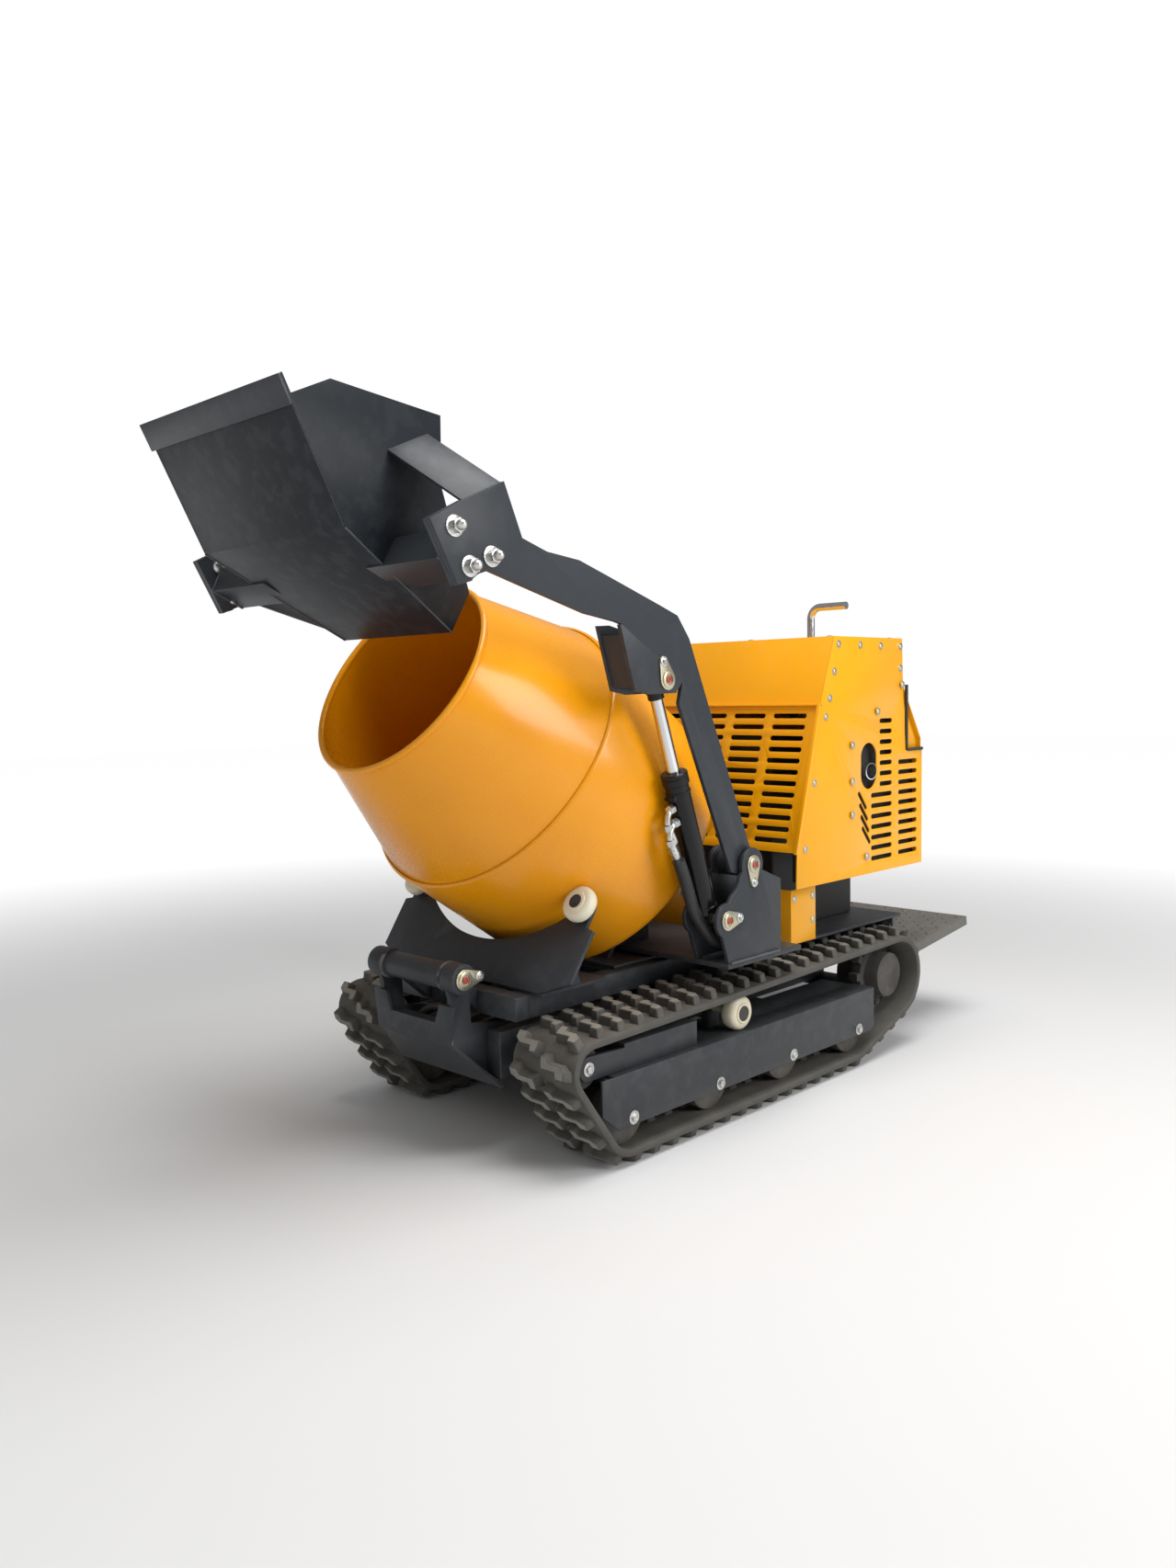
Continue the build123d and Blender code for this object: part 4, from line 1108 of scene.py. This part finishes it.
for side, word in SIDES:
    spots = on_face(side, HOOD_FACE, TOP_ROW + NOSE_ROW)
    spots += on_face(side, HOOD_FACE + PROUD, PANEL_ROW)
    spots += on_face(side, 345, SKIRT_ROW)
    screws(word + "_hood_screws", spots, (0, side, 0))
screws("skirt_screws", [(-225, y, 440) for y in (-290, -160, 0, 160, 290)], (1, 0, 0))
lid_spots = [(x, y, 1093) for y in (-360, -120, 120, 360) for x in (-375, -655)]
screws("lid_screws", lid_spots, (0, 0, 1))
templates += [hood_screw]

# %% Lining, exhaust and edge trim
LINING = [(-345, 1040), (-655, 1040), (-655, 790), (-766, 790), (-766, 500), (-215, 500),
          (-215, 576)]
EDGE = [(-695, 972), (-695, 940), (-695, 812), (-696, 801), (-706, 800), (-776, 800)]
for side, word in SIDES:
    lining = cut_plate(word + "_sound_lining", LINING, *span(side, 356, 366), radius=2)
    painted(lining, "chassis", "engine_black")
    trim = tube(word + "_edge_trim", on_face(side, HOOD_FACE, EDGE), 4.5, kind="POLY")
    fit(trim, "chassis", hose_rubber)
pipe = turned_piece("exhaust_pipe", [
    (21, 0), (21, 30), (22, 31), (22, 33), (19, 33.5), (18.5, 31), (18.5, 4), (1, 4)], 40)
aim(pipe, (-531, 352, 752), (0.15, 1, 0))
painted(pipe, "chassis", "chrome")
RIB_ROW = (-300, -100, 100, 300)
ribs = [aim(raised("rib", [(-34, -4), (0, -4), (0, 4), (-34, 4)], 0, 30, 1.0, 1.5),
            (-215, y, 470), (0.5, 0, 1)) for y in RIB_ROW]
painted(together("skirt_ribs", ribs), "chassis", "yellow_paint")
print("trim", 2, "ribs", len(ribs))

# %% [markdown]
# ## The rear and its controls
# A flat door with one latch closes the rear. Six levers stand in a row on the sloping console,
# each in a rubber boot and under a plastic knob. A lever is a bent bar, so it is a tube, and
# boots and knobs are round, so they are turned.

# %% Rear service door
REAR_FACE = -776
door = raised("rear_door", [(-340, -150), (340, -150), (340, 150), (-340, 150)], 0, 3, 0.995, 1.0)
aim(door, (REAR_FACE, 0, 655), (-1, 0, 0))
painted(door, "chassis", "yellow_paint")
latch = turned_piece("rear_latch", [(16, 0), (16, 3), (14, 5), (6, 5.5), (5, 3)], 32)
aim(latch, (REAR_FACE - 3, 0, 770), (-1, 0, 0))
painted(latch, "chassis", "chrome")
rear_spots = [(REAR_FACE, y, z) for y in (-366, 366) for z in (520, 660, 800)]
screws("rear_screws", rear_spots, (-1, 0, 0))
print("rear door faces", len(door.data.polygons))

# %% Levers on the console
LEVER_ROW, LEVER_WAY = (-250, -170, -90, 90, 170, 250), (-0.55, 0, 0.84)
CONSOLE_X, CONSOLE_Z = -722, 912
levers, knobs = [], []
for y in LEVER_ROW:
    foot = Vector((CONSOLE_X, y, CONSOLE_Z))
    tip = foot + Vector((-52, 0, 78))
    levers.append(tube("lever", [foot, foot + Vector((-20, 0, 40)), tip], 5))
    boot = turned_piece("boot", [(22, -6), (22, 2), (16, 5), (15, 10), (11, 13), (10, 18),
                                 (7, 22)], 28)
    knobs.append(aim(boot, foot, LEVER_WAY))
    knob = turned_piece("knob", [(6, -4), (9, 0), (15, 10), (16, 18), (13, 28), (6, 33)], 28, 60)
    knobs.append(aim(knob, tip, LEVER_WAY))
painted(together("control_levers", levers), "chassis", "chrome")
painted(together("lever_knobs", knobs), "chassis", "engine_black")
dial = turned_piece("hour_meter", [(30, -4), (30, 4), (27, 6), (25, 3), (1, 3)], 40)
aim(dial, (CONSOLE_X, 0, CONSOLE_Z), (-0.84, 0, 0.55))
painted(dial, "chassis", "engine_black")
print("levers", len(levers))

# %% [markdown]
# ## Foot platform and front hinge
# The platform is checker plate: short raised bars in two directions, so that boots grip. A coil
# spring at each end of its hinge helps to fold it up. At the front, two thrust washers fill each
# side of the hinge, the front plate's notch has a folded ledge, and two hoses cross behind it.

# %% Checker bars
STEP_TILT, BAR_PITCH = 6.8, 29.5
step_turn = Matrix.Rotation(math.radians(STEP_TILT), 4, "Y")
step_at = Matrix.Translation(at(*step_hinge))
bar = raised("bar", [(-12, -3.2), (-8, -4.2), (8, -4.2), (12, -3.2), (12, 3.2), (8, 4.2),
                     (-8, 4.2), (-12, 3.2)], -0.5, 1.6, 0.8, 0.4)
bars = []
for row in range(10):
    for column in range(23):
        lean = 45 if (row + column) % 2 else -45
        spot = Vector((-36 - BAR_PITCH * row, -324 + BAR_PITCH * column, 4)) * MM
        made = copied(bar, "bar")
        made.data.transform(step_at @ step_turn @ Matrix.Translation(spot)
                            @ Matrix.Rotation(math.radians(lean), 4, "Z"))
        bars.append(made)
bpy.data.objects.remove(bar)
painted(together("checker_bars", bars), "platform", "checker_plate")
BRACKET_BOLTS = [(-765, 300), (-765, 222)]
for side, word in SIDES:
    coil = [(step_hinge[0] + 12 * math.cos(t * math.pi / 6), side * (270 + t * 0.62),
             step_hinge[2] + 12 * math.sin(t * math.pi / 6)) for t in range(73)]
    coil = [(-775, side * 270, 262)] + coil + [(-812, side * 316, 262)]
    spring = tube(word + "_hinge_spring", coil, 2.6, sides=3)
    fit(spring, "chassis", finishes["cylinder_black"])
    scatter(word + "_bracket_bolts", frame_bolt, on_face(side, 285, BRACKET_BOLTS),
            (-1, 0, 0), "chassis")
print("bars", len(bars))

# %% Hinge washers and ledge
washers = []
for side, word in SIDES:
    for start in (95.6, 99.4):
        ring = turned_piece("ring", [(33, 0), (33, 2.6), (31.5, 3.2), (16, 3.2)], 48)
        washers.append(aim(ring, (hinge_xz[0], side * start, hinge_xz[1]), (0, side, 0)))
painted(together("thrust_washers", washers), "chassis", "wheel_steel")
ledge = cut_plate("notch_ledge", [(654, 292), (654, 284), (622, 280), (622, 288)], -78, 78, 1.5)
painted(ledge, "chassis", "anthracite_paint")
print("washers", len(washers))

# %% Hoses behind the front plate
front_hoses = [
    tube("hose", [(606, -62, 262), (600, -30, 292), (592, 10, 301), (584, 44, 290),
                  (572, 70, 262), (560, 84, 238)], 7.5),
    tube("hose", [(590, -66, 262), (584, -30, 288), (576, 6, 296), (568, 40, 284),
                  (556, 64, 262), (544, 80, 240)], 7.5)]
fit(together("front_hoses", front_hoses), "chassis", hose_rubber)
print("front hoses", len(front_hoses))

# %% [markdown]
# ## Welds
# A weld is a small bead along a seam. A thin tube with few sides gives its shape at little cost,
# and the bumpy finish does the rest.


# %% Beads of weld
def weld(route, radius=3.0):
    """A bead of weld along places in millimetres."""
    return tube("bead", route, radius, sides=2, kind="POLY")


ARM_FOOT = [(797, 1166), (868, 1200), (842, 1252), (771, 1218), (797, 1166)]
tower_beads, arm_beads, front_beads = [], [], []
for side, word in SIDES:
    for y, rear, front in ((427, -62, 118), (340, -58, 110)):
        tower_beads.append(weld(on_face(side, y, [(rear, 371), (front, 371)])))
    front_beads.append(weld(on_face(side, 121, [(652, 250), (652, 330)])))
    arm_beads += [weld(on_face(side, 390, ARM_FOOT)),
                  weld([(673, side * 182, 1088), (957, side * 248, 1259)], 1.6),
                  weld(on_face(side, 246, [(957, 1262), (1071, 1495)]), 1.6)]
fit(together("tower_welds", tower_beads), "mixer_frame", weld_steel)
fit(together("front_welds", front_beads), "chassis", weld_steel)
fit(together("flange_welds", arm_beads), "lift_arms", weld_steel)
print("weld beads", len(tower_beads + arm_beads + front_beads))

# %% [markdown]
# ## Clearing up
# The first fastener of each kind was only a pattern for its copies, so it is removed.

# %% Remove the master fasteners
for template in templates:
    bpy.data.objects.remove(template)
